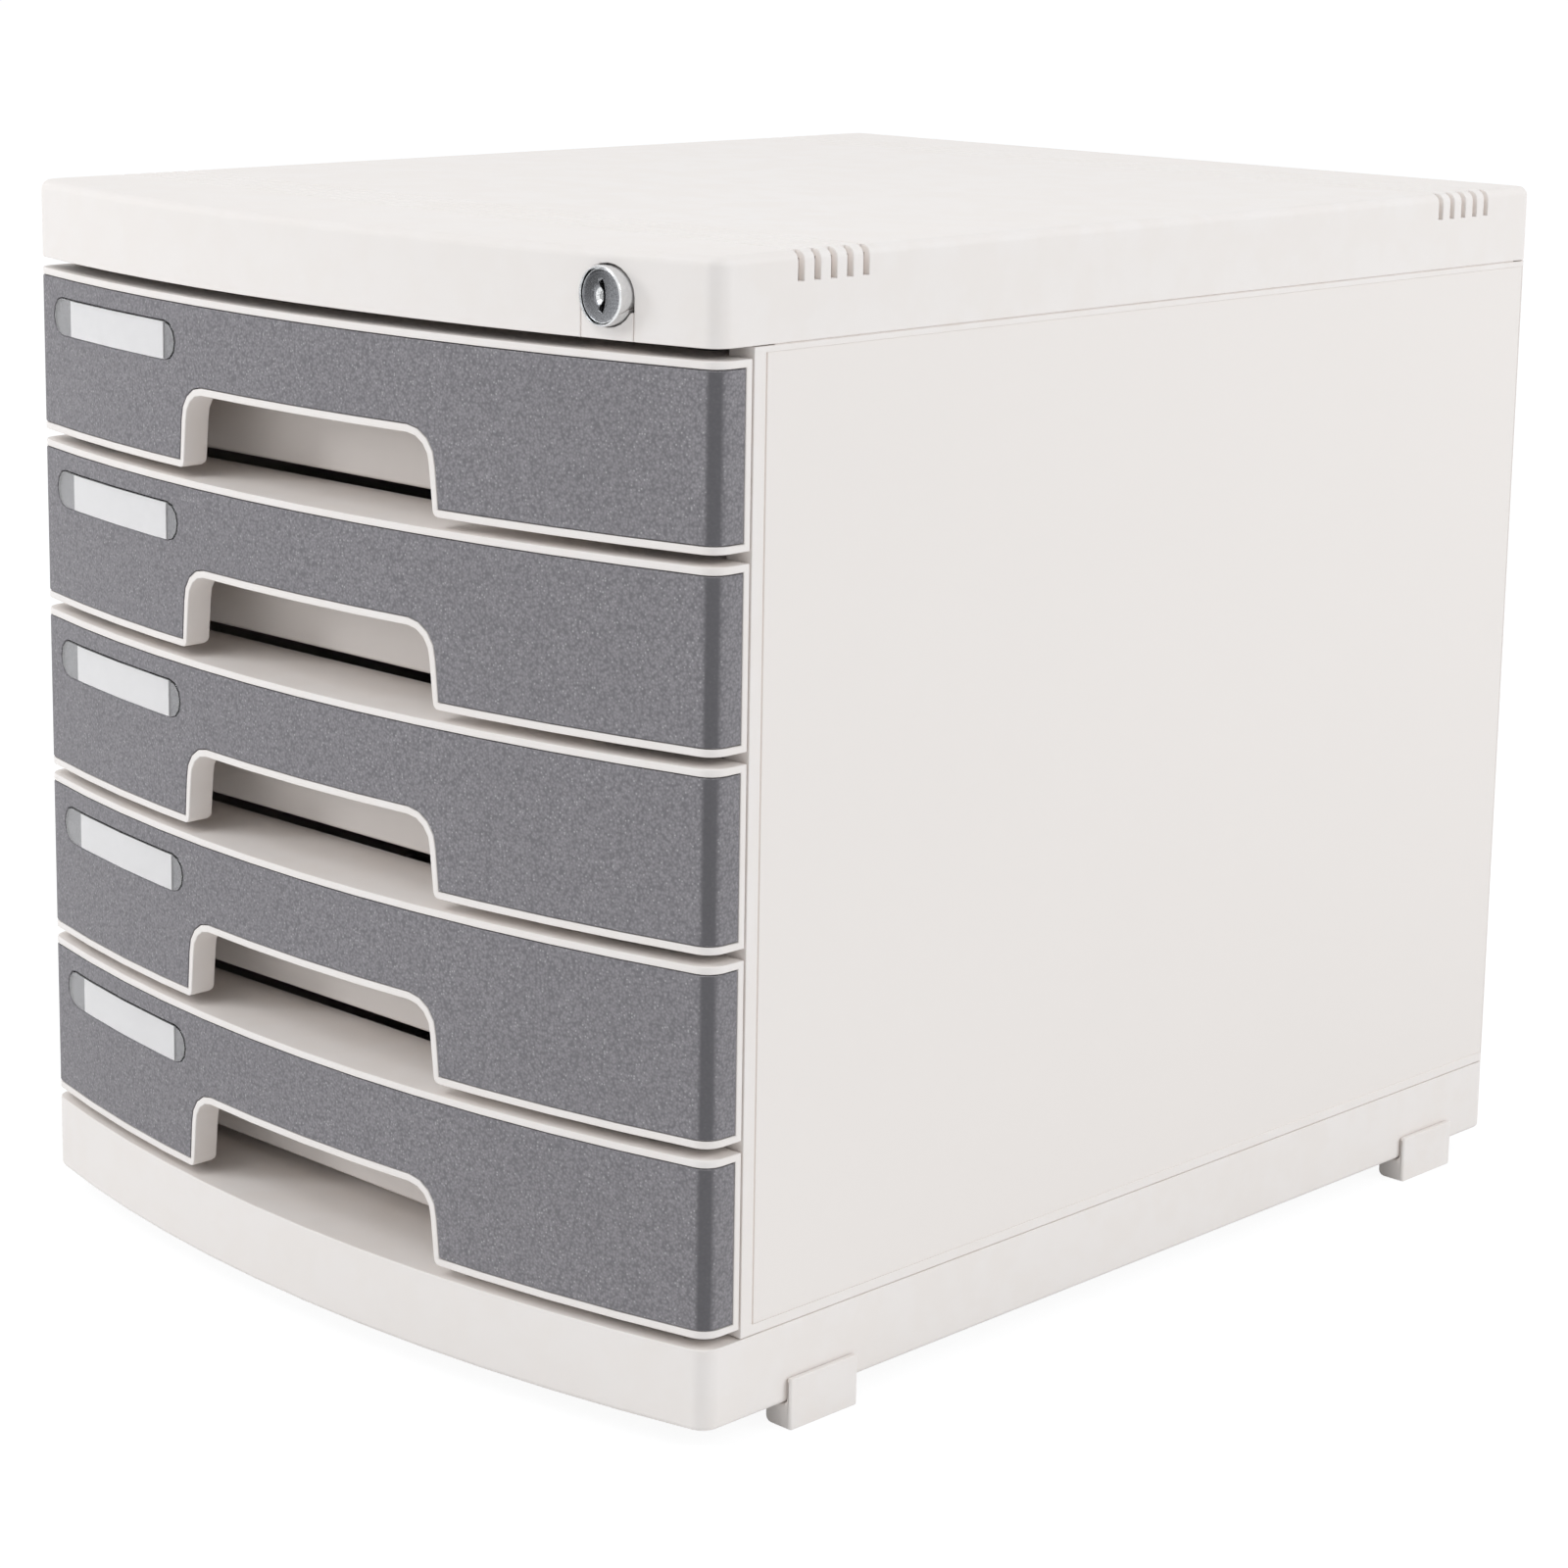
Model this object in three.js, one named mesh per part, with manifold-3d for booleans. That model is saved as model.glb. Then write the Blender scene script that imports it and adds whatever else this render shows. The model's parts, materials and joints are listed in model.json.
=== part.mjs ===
// Five-drawer desktop file cabinet with a bowed front and a cam lock.
// Millimetres, +Z up, +X to the right of someone facing the drawers, front towards -Y.
// The origin is on the desk, under the middle of the cabinet's footprint.
// Inside the file every piece is drawn from the corner plane: y = 0 is where the flat sides
// would meet the bowed front, and the finished cabinet is then shifted to its own middle.

import * as THREE from 'three';
import { mergeVertices } from 'three/addons/utils/BufferGeometryUtils.js';
import Module from 'manifold-3d';

const wasm = await Module();
wasm.setup();

// Driving dimensions of the cabinet
const cabinetWidth = 300;
const cabinetDepth = 392;
const bowRise = 18.7;
const frontCornerRadius = 6.2;
const rearCornerRadius = 4;
const shellWall = 2.4;
const seamGap = 0.3;
const baseHeight = 23.7;
const baseEdgeRadius = 1.8;
const coverHeight = 23.9;
const coverEdgeRadius = 3;

// Driving dimensions of the drawers
const drawerCount = 5;
const frontHeight = 50.7;
const frontGap = 3.2;
const frontEndY = 12.3;
const frontSeam = 0.7;
const trayWall = 2.2;
const trayFloor = 2;
const trayCornerRadius = 4;
const trayEdgeRadius = 1.2;
const trayRearGap = 4;

// Facet counts of round stretches
const bowSteps = 12;
const filletSteps = 4;
const smallArcSteps = 3;
const roundSteps = 24;

// Overrun of every cutting solid past the face that it cuts
const overrun = 1;

// Sizes that follow from the driving dimensions
const sideX = cabinetWidth / 2;
const rearY = cabinetDepth - bowRise;
const bowRadius = (sideX ** 2 + bowRise ** 2) / (2 * bowRise);
const bowCentreY = bowRadius - bowRise;
const sideInnerX = sideX - shellWall;
const rearInnerRadius = Math.max(rearCornerRadius - shellWall, seamGap);

// Feet: a pad under the skirt of the base, an outer flange and an inner tongue that grip it
const foot = {
  length: 27.5,
  padWidth: 7.8,
  drop: 7.5,
  flangeLap: 7.5,
  flangeThickness: 1.7,
  tongueLap: 5.5,
  tongueThickness: 2.2,
  edge: 0.6,
  roundRadius: 2,
  frontY: 31,
  rearInset: 21.8,
};

const baseTopZ = foot.drop + baseHeight;
const stackHeight = drawerCount * frontHeight + (drawerCount + 1) * frontGap;
const coverBottomZ = baseTopZ + stackHeight;
const coverTopZ = coverBottomZ + coverHeight;

// Moulded ribs under the base plate and inside the cover
const moulding = {
  ribThickness: 2,
  ribDepth: 4,
  lengthwiseRibShares: [-0.5, 0, 0.5],
  crosswiseRibShares: [0.25, 0.5, 0.75],
};

// Vents: groups of slots through the sides of the cover, each carried on over the top as a groove
const vent = {
  count: 5,
  pitch: 6.25,
  width: 2.3,
  height: 8.1,
  reach: 3.4,
  grooveWidth: 1,
  grooveDepth: 0.4,
  frontY: 30,
  rearInset: 26.4,
};

// Side panels
const panelFrontY = frontEndY + frontSeam;
const post = { depth: 9.5, bandWidth: 4.4 };
const postInnerX = sideX - post.depth;
const field = { recess: 0.4, topBand: 1.7, bottomBand: 3, rearBand: 3, grooveWidth: 0.8, grooveDepth: 1 };
const tongue = { thickness: 2.4, height: 8, lap: 8, frontInset: 7 };
const rearFlange = { depth: 8.4, thickness: 2.4 };
const backPanel = { thickness: 2.2, channelRibThickness: 2, channelRibDepth: 7.5 };
const backPanelRearY = rearY - rearFlange.thickness - seamGap;
const backPanelFrontY = backPanelRearY - backPanel.thickness;
const channelRibY = [backPanelFrontY - seamGap - backPanel.channelRibThickness, backPanelFrontY - seamGap];
const tongueY = [panelFrontY + tongue.frontInset, (channelRibY[0] + channelRibY[1]) / 2];

// Runners: a ledge on each side panel under the lip of each tray, with a stop at its front end
const lip = { postClearance: 0.9, reach: 5.1, thickness: 2 };
const lipHalfWidth = postInnerX - lip.postClearance;
const trayHalfWidth = lipHalfWidth - lip.reach;
const trayFrontY = panelFrontY;
const trayRearY = backPanelFrontY - trayRearGap;
const runner = { trayClearance: 1.5, thickness: 2, frontY: 36, clearance: 0.3 };
const stop = { length: 4, height: 9, trayClearance: 2 };
const stopRib = { reach: 4.7, height: 7.9, thickness: 3, topClearance: 0.5, rearInset: 50.8 };

// Drawer front: rim, cut-out for the fingers and the flange that turns back round both
const rim = 2.2;
const fasciaDepth = 8.6;
const fasciaWall = 2;
const cutOut = {
  halfWidth: 55.8,
  draft: 1.3,
  height: 22.4,
  cornerRadius: 8.4,
  footRadius: 2,
  heelRadius: 2,
};
const fasciaRib = { thickness: 1.8, shares: [0.7] };

// Grey panel that lies in the rim, with the label window near its left end
const insert = { thickness: 2.4, clearance: 0.25, seatGap: 0.3 };
const label = {
  windowInset: 11.4,
  windowLength: 79,
  windowHeight: 12,
  windowTopDrop: 8,
  lensThickness: 0.7,
  lensClearance: 0.15,
  cardInset: 11.9,
  cardLength: 59.6,
  cardThickness: 0.25,
  cardGap: 0.25,
  cardMargin: 0.25,
};

// Cam lock at the right of the cover
const lock = {
  sideInset: 34.2,
  drop: 0.35,
  headRadius: 8.1,
  headProud: 2.7,
  headLength: 7.8,
  headFloor: 2.4,
  shoulder: 1.8,
  barrelLength: 13.5,
  barrelWall: 1.4,
  clearance: 0.3,
  chamfer: 0.5,
  ringWidth: 0.85,
  plugRecess: 0.4,
  shankShare: 0.565,
  screwBoreDepth: 8,
};
const lockX = sideX - lock.sideInset;
const lockZ = coverBottomZ + coverHeight / 2 - lock.drop;
const headFrontY = bowY(lockX) - lock.headProud;
const headSeatY = headFrontY + lock.headLength;
const barrelRearY = headSeatY + lock.barrelLength;
const barrelRadius = lock.headRadius - lock.shoulder;
const plugHeadRadius = lock.headRadius - lock.ringWidth;
const plugRadius = barrelRadius - lock.barrelWall - lock.clearance;
const shankHalf = lock.shankShare * plugRadius;
const keyway = {
  height: 8,
  width: 4.2,
  depth: 0.8,
  slotHeight: 6.6,
  slotWidth: 0.9,
  slotDepth: 5,
  bulge: 0.6,
};
const carrier = { notchMargin: 0.4, notchClearance: 0.25, flangeLap: 3, floor: 3, hornDrop: 4 };
const notchHalfWidth = lock.headRadius + carrier.notchMargin;
const carrierHalfWidth = notchHalfWidth + carrier.flangeLap;
const nut = { sides: 6, wall: 1.2, thickness: 3 };
const cam = {
  thickness: 2,
  hubWall: 1.3,
  throw: 5.66,
  pinRadius: 1.5,
  pinEye: 3,
  pinOverhang: 1,
  restAngle: Math.PI / 4,
};
const camScrew = { headRadius: 3.5, headHeight: 1.8, shankRadius: 1.4 };

// Lug on each tray that the lock bar's tab drops in front of
const lockLug = {
  reach: 4.3,
  bottomZ: 1.5,
  height: 7.5,
  thickness: 2.8,
  frontClearance: 0.6,
  topClearance: 1.6,
};

// Lock bar: a folded steel strip behind the right-hand post, with a tab for each drawer
const bar = {
  thickness: 1.2,
  postSideLap: 0.8,
  postGap: 2.6,
  width: 12,
  armHalfHeight: 4.2,
  armOverhang: 2.2,
  slotClearance: 0.45,
  tabClearance: 1.5,
  tabHeight: 6,
  tailLength: 0.6,
};
const barInnerX = postInnerX + bar.postSideLap;
const barOuterX = barInnerX + bar.thickness;
const barFrontY = panelFrontY + shellWall + bar.postGap;
const barRearY = barFrontY + bar.width;
const tabBottomZ = lockLug.bottomZ + lockLug.height + lockLug.topClearance;
const guide = { clearance: 0.3, cheekThickness: 1.2, cheekLap: 0.4, tabGap: 5.4, height: 10 };

// Materials
const offWhite = new THREE.MeshStandardMaterial({ color: 0xe9e5e1, roughness: 0.5, metalness: 0 });
const grey = new THREE.MeshStandardMaterial({ color: 0x7f7e83, roughness: 0.65, metalness: 0 });
const clear = new THREE.MeshStandardMaterial({
  color: 0xf2f5f7,
  roughness: 0.08,
  metalness: 0,
  transparent: true,
  opacity: 0.35,
});
const paper = new THREE.MeshStandardMaterial({ color: 0xf4f2f4, roughness: 0.9, metalness: 0 });
const chrome = new THREE.MeshStandardMaterial({ color: 0xc9cccf, roughness: 0.2, metalness: 1 });
const steel = new THREE.MeshStandardMaterial({ color: 0xa9abad, roughness: 0.4, metalness: 1 });

// Solids from closed geometries, and geometries from solids
function toSolid(geometry) {
  geometry.deleteAttribute('normal');
  geometry.deleteAttribute('uv');
  const merged = mergeVertices(geometry);
  const corners = merged.index.array;
  const kept = [];
  for (let i = 0; i < corners.length; i += 3) {
    const [a, b, c] = corners.slice(i, i + 3);
    if (a !== b && b !== c && c !== a) {
      kept.push(a, b, c);
    }
  }
  const mesh = new wasm.Mesh({
    numProp: 3,
    vertProperties: new Float32Array(merged.attributes.position.array),
    triVerts: new Uint32Array(kept),
  });
  return new wasm.Manifold(mesh);
}

function toGeometry(solid) {
  const { vertProperties, triVerts } = solid.getMesh();
  const geometry = new THREE.BufferGeometry();
  geometry.setAttribute('position', new THREE.BufferAttribute(new Float32Array(vertProperties), 3));
  geometry.setIndex(new THREE.BufferAttribute(new Uint32Array(triVerts), 1));
  geometry.computeVertexNormals();
  return geometry;
}

// A box between two limits on each axis
function box([x0, x1], [y0, y1], [z0, z1]) {
  const geometry = new THREE.BoxGeometry(x1 - x0, y1 - y0, z1 - z0);
  geometry.translate((x0 + x1) / 2, (y0 + y1) / 2, (z0 + z1) / 2);
  return toSolid(geometry);
}

// A plan outline carried up from one height to another
function upright(shape, z0, z1) {
  const geometry = new THREE.ExtrudeGeometry(shape, { depth: z1 - z0, bevelEnabled: false });
  geometry.translate(0, 0, z0);
  return toSolid(geometry);
}

// An outline seen from the front, (x, z), carried back from one depth to another
function frontToBack(shape, y0, y1, edge = 0) {
  const geometry = new THREE.ExtrudeGeometry(shape, {
    depth: y1 - y0 - 2 * edge,
    bevelEnabled: edge > 0,
    bevelThickness: edge,
    bevelSize: edge,
    bevelOffset: -edge,
    bevelSegments: 1,
  });
  geometry.rotateX(Math.PI / 2);
  geometry.translate(0, y1 - edge, 0);
  return toSolid(geometry);
}

// An outline seen from the right, (y, z), carried across from one side to the other
function sideToSide(shape, x0, x1) {
  const geometry = new THREE.ExtrudeGeometry(shape, { depth: x1 - x0, bevelEnabled: false });
  geometry.translate(0, 0, x0);
  geometry.rotateY(Math.PI / 2);
  geometry.rotateX(Math.PI / 2);
  return toSolid(geometry);
}

// A plan outline carried up with its edge rounded at the top or at the bottom
function softEdged(shape, z0, z1, edge, roundedAtTop) {
  const geometry = new THREE.ExtrudeGeometry(shape, {
    depth: z1 - z0 - edge,
    bevelThickness: edge,
    bevelSize: edge,
    bevelOffset: -edge,
    bevelSegments: filletSteps,
  });
  geometry.translate(0, 0, roundedAtTop ? z0 : z0 + edge);
  const reach = cabinetWidth + cabinetDepth;
  return toSolid(geometry).intersect(box([-reach, reach], [-reach, reach], [z0, z1]));
}

// A profile of (radius, depth) points, turned about the lock's axis
function turned(points) {
  return toSolid(new THREE.LatheGeometry(points.map(([r, y]) => new THREE.Vector2(r, y)), roundSteps));
}

function rod(radius, y0, y1, x, z) {
  const geometry = new THREE.CylinderGeometry(radius, radius, y1 - y0, roundSteps);
  geometry.translate(x, (y0 + y1) / 2, z);
  return toSolid(geometry);
}

function join(solids) {
  return solids.reduce((sum, next) => sum.add(next));
}

function cut(solid, tools) {
  return tools.reduce((rest, tool) => rest.subtract(tool), solid);
}

// A mirrored copy, with its faces turned to point out again
function mirrorX(solid) {
  const { vertProperties, triVerts } = solid.getMesh();
  const positions = Float32Array.from(vertProperties, (value, i) => (i % 3 === 0 ? -value : value));
  const faces = Uint32Array.from(triVerts, (_, i) => triVerts[i - (i % 3) + (2 - (i % 3))]);
  return new wasm.Manifold(new wasm.Mesh({ numProp: 3, vertProperties: positions, triVerts: faces }));
}

function arc(centreX, centreY, radius, from, to, steps) {
  const points = [];
  for (let i = 0; i <= steps; i += 1) {
    const angle = from + ((to - from) * i) / steps;
    points.push(new THREE.Vector2(centreX + radius * Math.cos(angle), centreY + radius * Math.sin(angle)));
  }
  return points;
}

function rectangle(x0, x1, y0, y1) {
  return new THREE.Shape([
    new THREE.Vector2(x0, y0),
    new THREE.Vector2(x1, y0),
    new THREE.Vector2(x1, y1),
    new THREE.Vector2(x0, y1),
  ]);
}

function roundedRectangle(x0, x1, y0, y1, radius, steps) {
  return new THREE.Shape([
    ...arc(x1 - radius, y0 + radius, radius, -Math.PI / 2, 0, steps),
    ...arc(x1 - radius, y1 - radius, radius, 0, Math.PI / 2, steps),
    ...arc(x0 + radius, y1 - radius, radius, Math.PI / 2, Math.PI, steps),
    ...arc(x0 + radius, y0 + radius, radius, Math.PI, (3 * Math.PI) / 2, steps),
  ]);
}

// How far the bowed front stands off the corner plane at a distance from the middle
function bowY(x) {
  return bowCentreY - Math.sqrt(bowRadius ** 2 - x ** 2);
}

// The bowed front with its rounded corners, from the left side to the right, drawn in by an inset
function frontEdge(inset) {
  const radius = bowRadius - inset;
  const fillet = Math.max(frontCornerRadius - inset, fasciaWall / 2);
  const centreX = sideX - inset - fillet;
  const centreY = bowCentreY - Math.sqrt((radius - fillet) ** 2 - centreX ** 2);
  const turn = Math.atan2(centreY - bowCentreY, centreX);
  return [
    ...arc(-centreX, centreY, fillet, Math.PI, Math.PI - turn, filletSteps),
    ...arc(0, bowCentreY, radius, Math.PI - turn, 2 * Math.PI + turn, bowSteps).slice(1, -1),
    ...arc(centreX, centreY, fillet, turn, 0, filletSteps),
  ];
}

// The plan of the cabinet, drawn in by an inset and ended at a rear line
function planShape(inset, endY, radius) {
  const halfWidth = sideX - inset;
  return new THREE.Shape([
    ...frontEdge(inset),
    ...arc(halfWidth - radius, endY - radius, radius, 0, Math.PI / 2, filletSteps),
    ...arc(radius - halfWidth, endY - radius, radius, Math.PI / 2, Math.PI, filletSteps),
  ]);
}

// The front part of that plan, cut off square behind the front
function frontShape(inset, endY) {
  const halfWidth = sideX - inset;
  return new THREE.Shape([
    ...frontEdge(inset),
    new THREE.Vector2(halfWidth, endY),
    new THREE.Vector2(-halfWidth, endY),
  ]);
}

// A strip that follows the bow and both corners between two insets
function bowStrip(outerInset, innerInset, endY) {
  const outerX = sideX - outerInset;
  const innerX = sideX - innerInset;
  return new THREE.Shape([
    ...frontEdge(outerInset),
    new THREE.Vector2(outerX, endY),
    new THREE.Vector2(innerX, endY),
    ...frontEdge(innerInset).reverse(),
    new THREE.Vector2(-innerX, endY),
    new THREE.Vector2(-outerX, endY),
  ]);
}

// The finger cut-out seen from the front, grown outwards by a margin and open at the bottom
function archShape(margin) {
  const footX = cutOut.halfWidth + margin;
  const shoulder = footX - cutOut.draft;
  const top = cutOut.height + margin;
  const radius = cutOut.cornerRadius + margin;
  return new THREE.Shape([
    new THREE.Vector2(-footX, -overrun),
    new THREE.Vector2(footX, -overrun),
    ...arc(shoulder - radius, top - radius, radius, 0, Math.PI / 2, filletSteps),
    ...arc(radius - shoulder, top - radius, radius, Math.PI / 2, Math.PI, filletSteps),
  ]);
}

// The same cut-out through the frame itself, with its two lower corners rounded
function openArchShape() {
  const footX = cutOut.halfWidth;
  const shoulder = footX - cutOut.draft;
  const top = cutOut.height;
  const radius = cutOut.cornerRadius;
  const flare = cutOut.footRadius;
  return new THREE.Shape([
    new THREE.Vector2(-footX - flare, -overrun),
    new THREE.Vector2(footX + flare, -overrun),
    ...arc(footX + flare, flare, flare, (3 * Math.PI) / 2, Math.PI, smallArcSteps),
    ...arc(shoulder - radius, top - radius, radius, 0, Math.PI / 2, filletSteps),
    ...arc(radius - shoulder, top - radius, radius, Math.PI / 2, Math.PI, filletSteps),
    ...arc(-footX - flare, flare, flare, 0, -Math.PI / 2, smallArcSteps),
  ]);
}

// A slot with round ends, seen from the front
function stadium(leftX, rightX, z0, z1) {
  const radius = (z1 - z0) / 2;
  const middleZ = (z0 + z1) / 2;
  const steps = 2 * smallArcSteps;
  return new THREE.Shape([
    ...arc(rightX - radius, middleZ, radius, -Math.PI / 2, Math.PI / 2, steps),
    ...arc(leftX + radius, middleZ, radius, Math.PI / 2, (3 * Math.PI) / 2, steps),
  ]);
}

// Cross ribs hanging from, or standing under, a plate between two heights
function ribGrid(z0, z1) {
  const innerRearY = rearY - shellWall;
  const halfRib = moulding.ribThickness / 2;
  const intoWall = shellWall / 2;
  const lengthwise = moulding.lengthwiseRibShares.map((share) => {
    const x = share * sideInnerX;
    return box([x - halfRib, x + halfRib], [bowY(x) + intoWall, innerRearY + intoWall], [z0, z1]);
  });
  const crosswise = moulding.crosswiseRibShares.map((share) => {
    const y = share * innerRearY;
    return box([intoWall - sideX, sideX - intoWall], [y - halfRib, y + halfRib], [z0, z1]);
  });
  return [...lengthwise, ...crosswise];
}

// Base: a shallow pan turned over, with slots for the tongues of the side panels
function makeBase() {
  const plateZ = baseTopZ - shellWall;
  const innerPlan = planShape(shellWall, rearY - shellWall, rearInnerRadius);
  const outerPlan = planShape(0, rearY, rearCornerRadius);
  const outer = softEdged(outerPlan, foot.drop, baseTopZ, baseEdgeRadius, false);
  const shell = outer.subtract(upright(innerPlan, foot.drop - overrun, plateZ));
  const ribbed = join([shell, ...ribGrid(plateZ - moulding.ribDepth, plateZ + shellWall / 2)]);
  const slots = [-1, 1].map((side) => {
    const nearX = side * (sideInnerX - tongue.thickness - 2 * seamGap);
    const farX = side * sideInnerX;
    const xs = [Math.min(nearX, farX), Math.max(nearX, farX)];
    const ys = [tongueY[0] - seamGap, tongueY[1] + seamGap];
    return box(xs, ys, [plateZ - moulding.ribDepth - overrun, baseTopZ + overrun]);
  });
  return cut(ribbed, slots);
}

// Places of the vent slots along one side, front group then rear group
function ventPlaces() {
  const places = [];
  for (let i = 0; i < vent.count; i += 1) {
    places.push(vent.frontY + i * vent.pitch);
    places.push(rearY - vent.rearInset - i * vent.pitch);
  }
  return places;
}

// Cover: the matching pan over the drawers, vented at both sides and notched for the lock
function makeTopCover() {
  const plateZ = coverTopZ - shellWall;
  const ribBottomZ = plateZ - moulding.ribDepth;
  const innerPlan = planShape(shellWall, rearY - shellWall, rearInnerRadius);
  const outerPlan = planShape(0, rearY, rearCornerRadius);
  const outer = softEdged(outerPlan, coverBottomZ, coverTopZ, coverEdgeRadius, true);
  const hollow = upright(innerPlan, coverBottomZ - overrun, plateZ);
  const shell = join([outer.subtract(hollow), ...ribGrid(ribBottomZ, plateZ + shellWall / 2)]);
  const tools = ventPlaces().flatMap((y) => {
    const slotY = [y - vent.width / 2, y + vent.width / 2];
    const grooveY = [y - vent.grooveWidth / 2, y + vent.grooveWidth / 2];
    const slotZ = [coverTopZ - vent.height, coverTopZ + overrun];
    const inner = sideX - vent.reach;
    const outerX = sideX + overrun;
    return [
      box([inner, outerX], slotY, slotZ),
      box([-outerX, -inner], slotY, slotZ),
      box([-inner - overrun, inner + overrun], grooveY, [coverTopZ - vent.grooveDepth, coverTopZ + overrun]),
    ];
  });
  const lockRoom = box(
    [lockX - carrierHalfWidth - seamGap, lockX + carrierHalfWidth + seamGap],
    [frontNear(), barFrontY + bar.thickness + overrun],
    [ribBottomZ - overrun, plateZ],
  );
  const behindWall = upright(frontShape(shellWall, rearY), coverBottomZ, coverTopZ);
  const notch = frontToBack(lockNotchShape(), frontNear(), 0);
  return cut(shell, [...tools, notch, lockRoom.intersect(behindWall)]);
}

// A plane just in front of the bow, where every cutter from the front starts
function frontNear() {
  return -bowRise - overrun;
}

// The notch in the cover: round over the lock and open at the cover's lower edge
function lockNotchShape() {
  return new THREE.Shape([
    new THREE.Vector2(lockX - notchHalfWidth, coverBottomZ - overrun),
    new THREE.Vector2(lockX + notchHalfWidth, coverBottomZ - overrun),
    ...arc(lockX, lockZ, notchHalfWidth, 0, Math.PI, roundSteps / 2),
  ]);
}

// Carrier: closes the notch under the lock and holds it on a flat seat behind the wall
function makeLockPlate() {
  const rearFace = headSeatY + carrier.floor;
  const flangeShape = roundedRectangle(
    lockX - carrierHalfWidth,
    lockX + carrierHalfWidth,
    coverBottomZ + seamGap,
    coverTopZ - shellWall - seamGap,
    carrier.floor,
    smallArcSteps,
  );
  const behindWall = upright(frontShape(shellWall + seamGap, rearY), coverBottomZ - overrun, coverTopZ);
  const flange = frontToBack(flangeShape, frontNear(), rearFace).intersect(behindWall);
  const half = notchHalfWidth - carrier.notchClearance;
  const fillerShape = rectangle(lockX - half, lockX + half, coverBottomZ, lockZ - carrier.hornDrop);
  const insideBow = upright(frontShape(0, rearY), coverBottomZ - overrun, coverTopZ);
  const filler = frontToBack(fillerShape, frontNear(), rearFace).intersect(insideBow);
  const headHole = rod(lock.headRadius + lock.clearance, frontNear() - overrun, headSeatY, lockX, lockZ);
  const barrelHole = rod(barrelRadius + lock.clearance, frontNear(), rearFace + overrun, lockX, lockZ);
  return cut(flange.add(filler), [headHole, barrelHole]);
}

// Lock housing: a turned head and barrel, bored for the plug
function makeLockHousing() {
  const { headRadius, chamfer, clearance } = lock;
  const seat = headSeatY - clearance;
  const mouth = plugHeadRadius + clearance;
  const bore = plugRadius + clearance;
  const mouthFloor = headFrontY + lock.headFloor;
  return turned([
    [bore, barrelRearY],
    [bore, mouthFloor],
    [mouth, mouthFloor],
    [mouth, headFrontY],
    [headRadius - chamfer, headFrontY],
    [headRadius, headFrontY + chamfer],
    [headRadius, seat],
    [barrelRadius, seat],
    [barrelRadius, barrelRearY],
    [bore, barrelRearY],
  ]);
}

// Hexagonal nut that clamps the barrel to the carrier
function makeLockNut() {
  const front = headSeatY + carrier.floor + lock.clearance;
  const corner = (barrelRadius + nut.wall) / Math.cos(Math.PI / nut.sides);
  const hexagon = new THREE.Shape(arc(0, 0, corner, 0, 2 * Math.PI, nut.sides).slice(0, -1));
  const hole = rod(barrelRadius + lock.clearance, front - overrun, front + nut.thickness + overrun, 0, 0);
  return frontToBack(hexagon, front, front + nut.thickness).subtract(hole);
}

// Plug: head with the keyway in it, round body, square shank and a bore for the cam screw
function makeLockPlug() {
  const face = headFrontY + lock.plugRecess;
  const headRear = headFrontY + lock.headFloor - lock.clearance;
  const shankEnd = barrelRearY + cam.thickness;
  const round = turned([
    [0, face],
    [plugHeadRadius, face],
    [plugHeadRadius, headRear],
    [plugRadius, headRear],
    [plugRadius, barrelRearY],
    [0, barrelRearY],
  ]);
  const across = [-shankHalf, shankHalf];
  const shank = box(across, [barrelRearY - overrun, shankEnd], across);
  const lens = frontToBack(eyeShape(), face - overrun, face + keyway.depth);
  const slot = frontToBack(keySlotShape(), face - overrun, face + keyway.slotDepth);
  const screwBore = camScrew.shankRadius + lock.clearance;
  const screwHole = rod(screwBore, shankEnd - lock.screwBoreDepth, shankEnd + overrun, 0, 0);
  return cut(round.add(shank), [lens, slot, screwHole]);
}

// An eye standing on end: two arcs that meet at the top and the bottom of the keyway
function eyeShape() {
  const halfHeight = keyway.height / 2;
  const halfWidth = keyway.width / 2;
  const radius = (halfHeight ** 2 + halfWidth ** 2) / (2 * halfWidth);
  const offset = radius - halfWidth;
  const spread = Math.asin(halfHeight / radius);
  return new THREE.Shape([
    ...arc(-offset, 0, radius, -spread, spread, 2 * filletSteps),
    ...arc(offset, 0, radius, Math.PI - spread, Math.PI + spread, 2 * filletSteps).slice(1, -1),
  ]);
}

// The key slot: a narrow band that bows to the right
function keySlotShape() {
  const halfHeight = keyway.slotHeight / 2;
  const radius = (halfHeight ** 2 + keyway.bulge ** 2) / (2 * keyway.bulge);
  const offset = keyway.bulge - radius;
  const spread = Math.asin(halfHeight / radius);
  const half = keyway.slotWidth / 2;
  return new THREE.Shape([
    ...arc(offset, 0, radius + half, -spread, spread, filletSteps),
    ...arc(offset, 0, radius - half, spread, -spread, filletSteps),
  ]);
}

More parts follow.
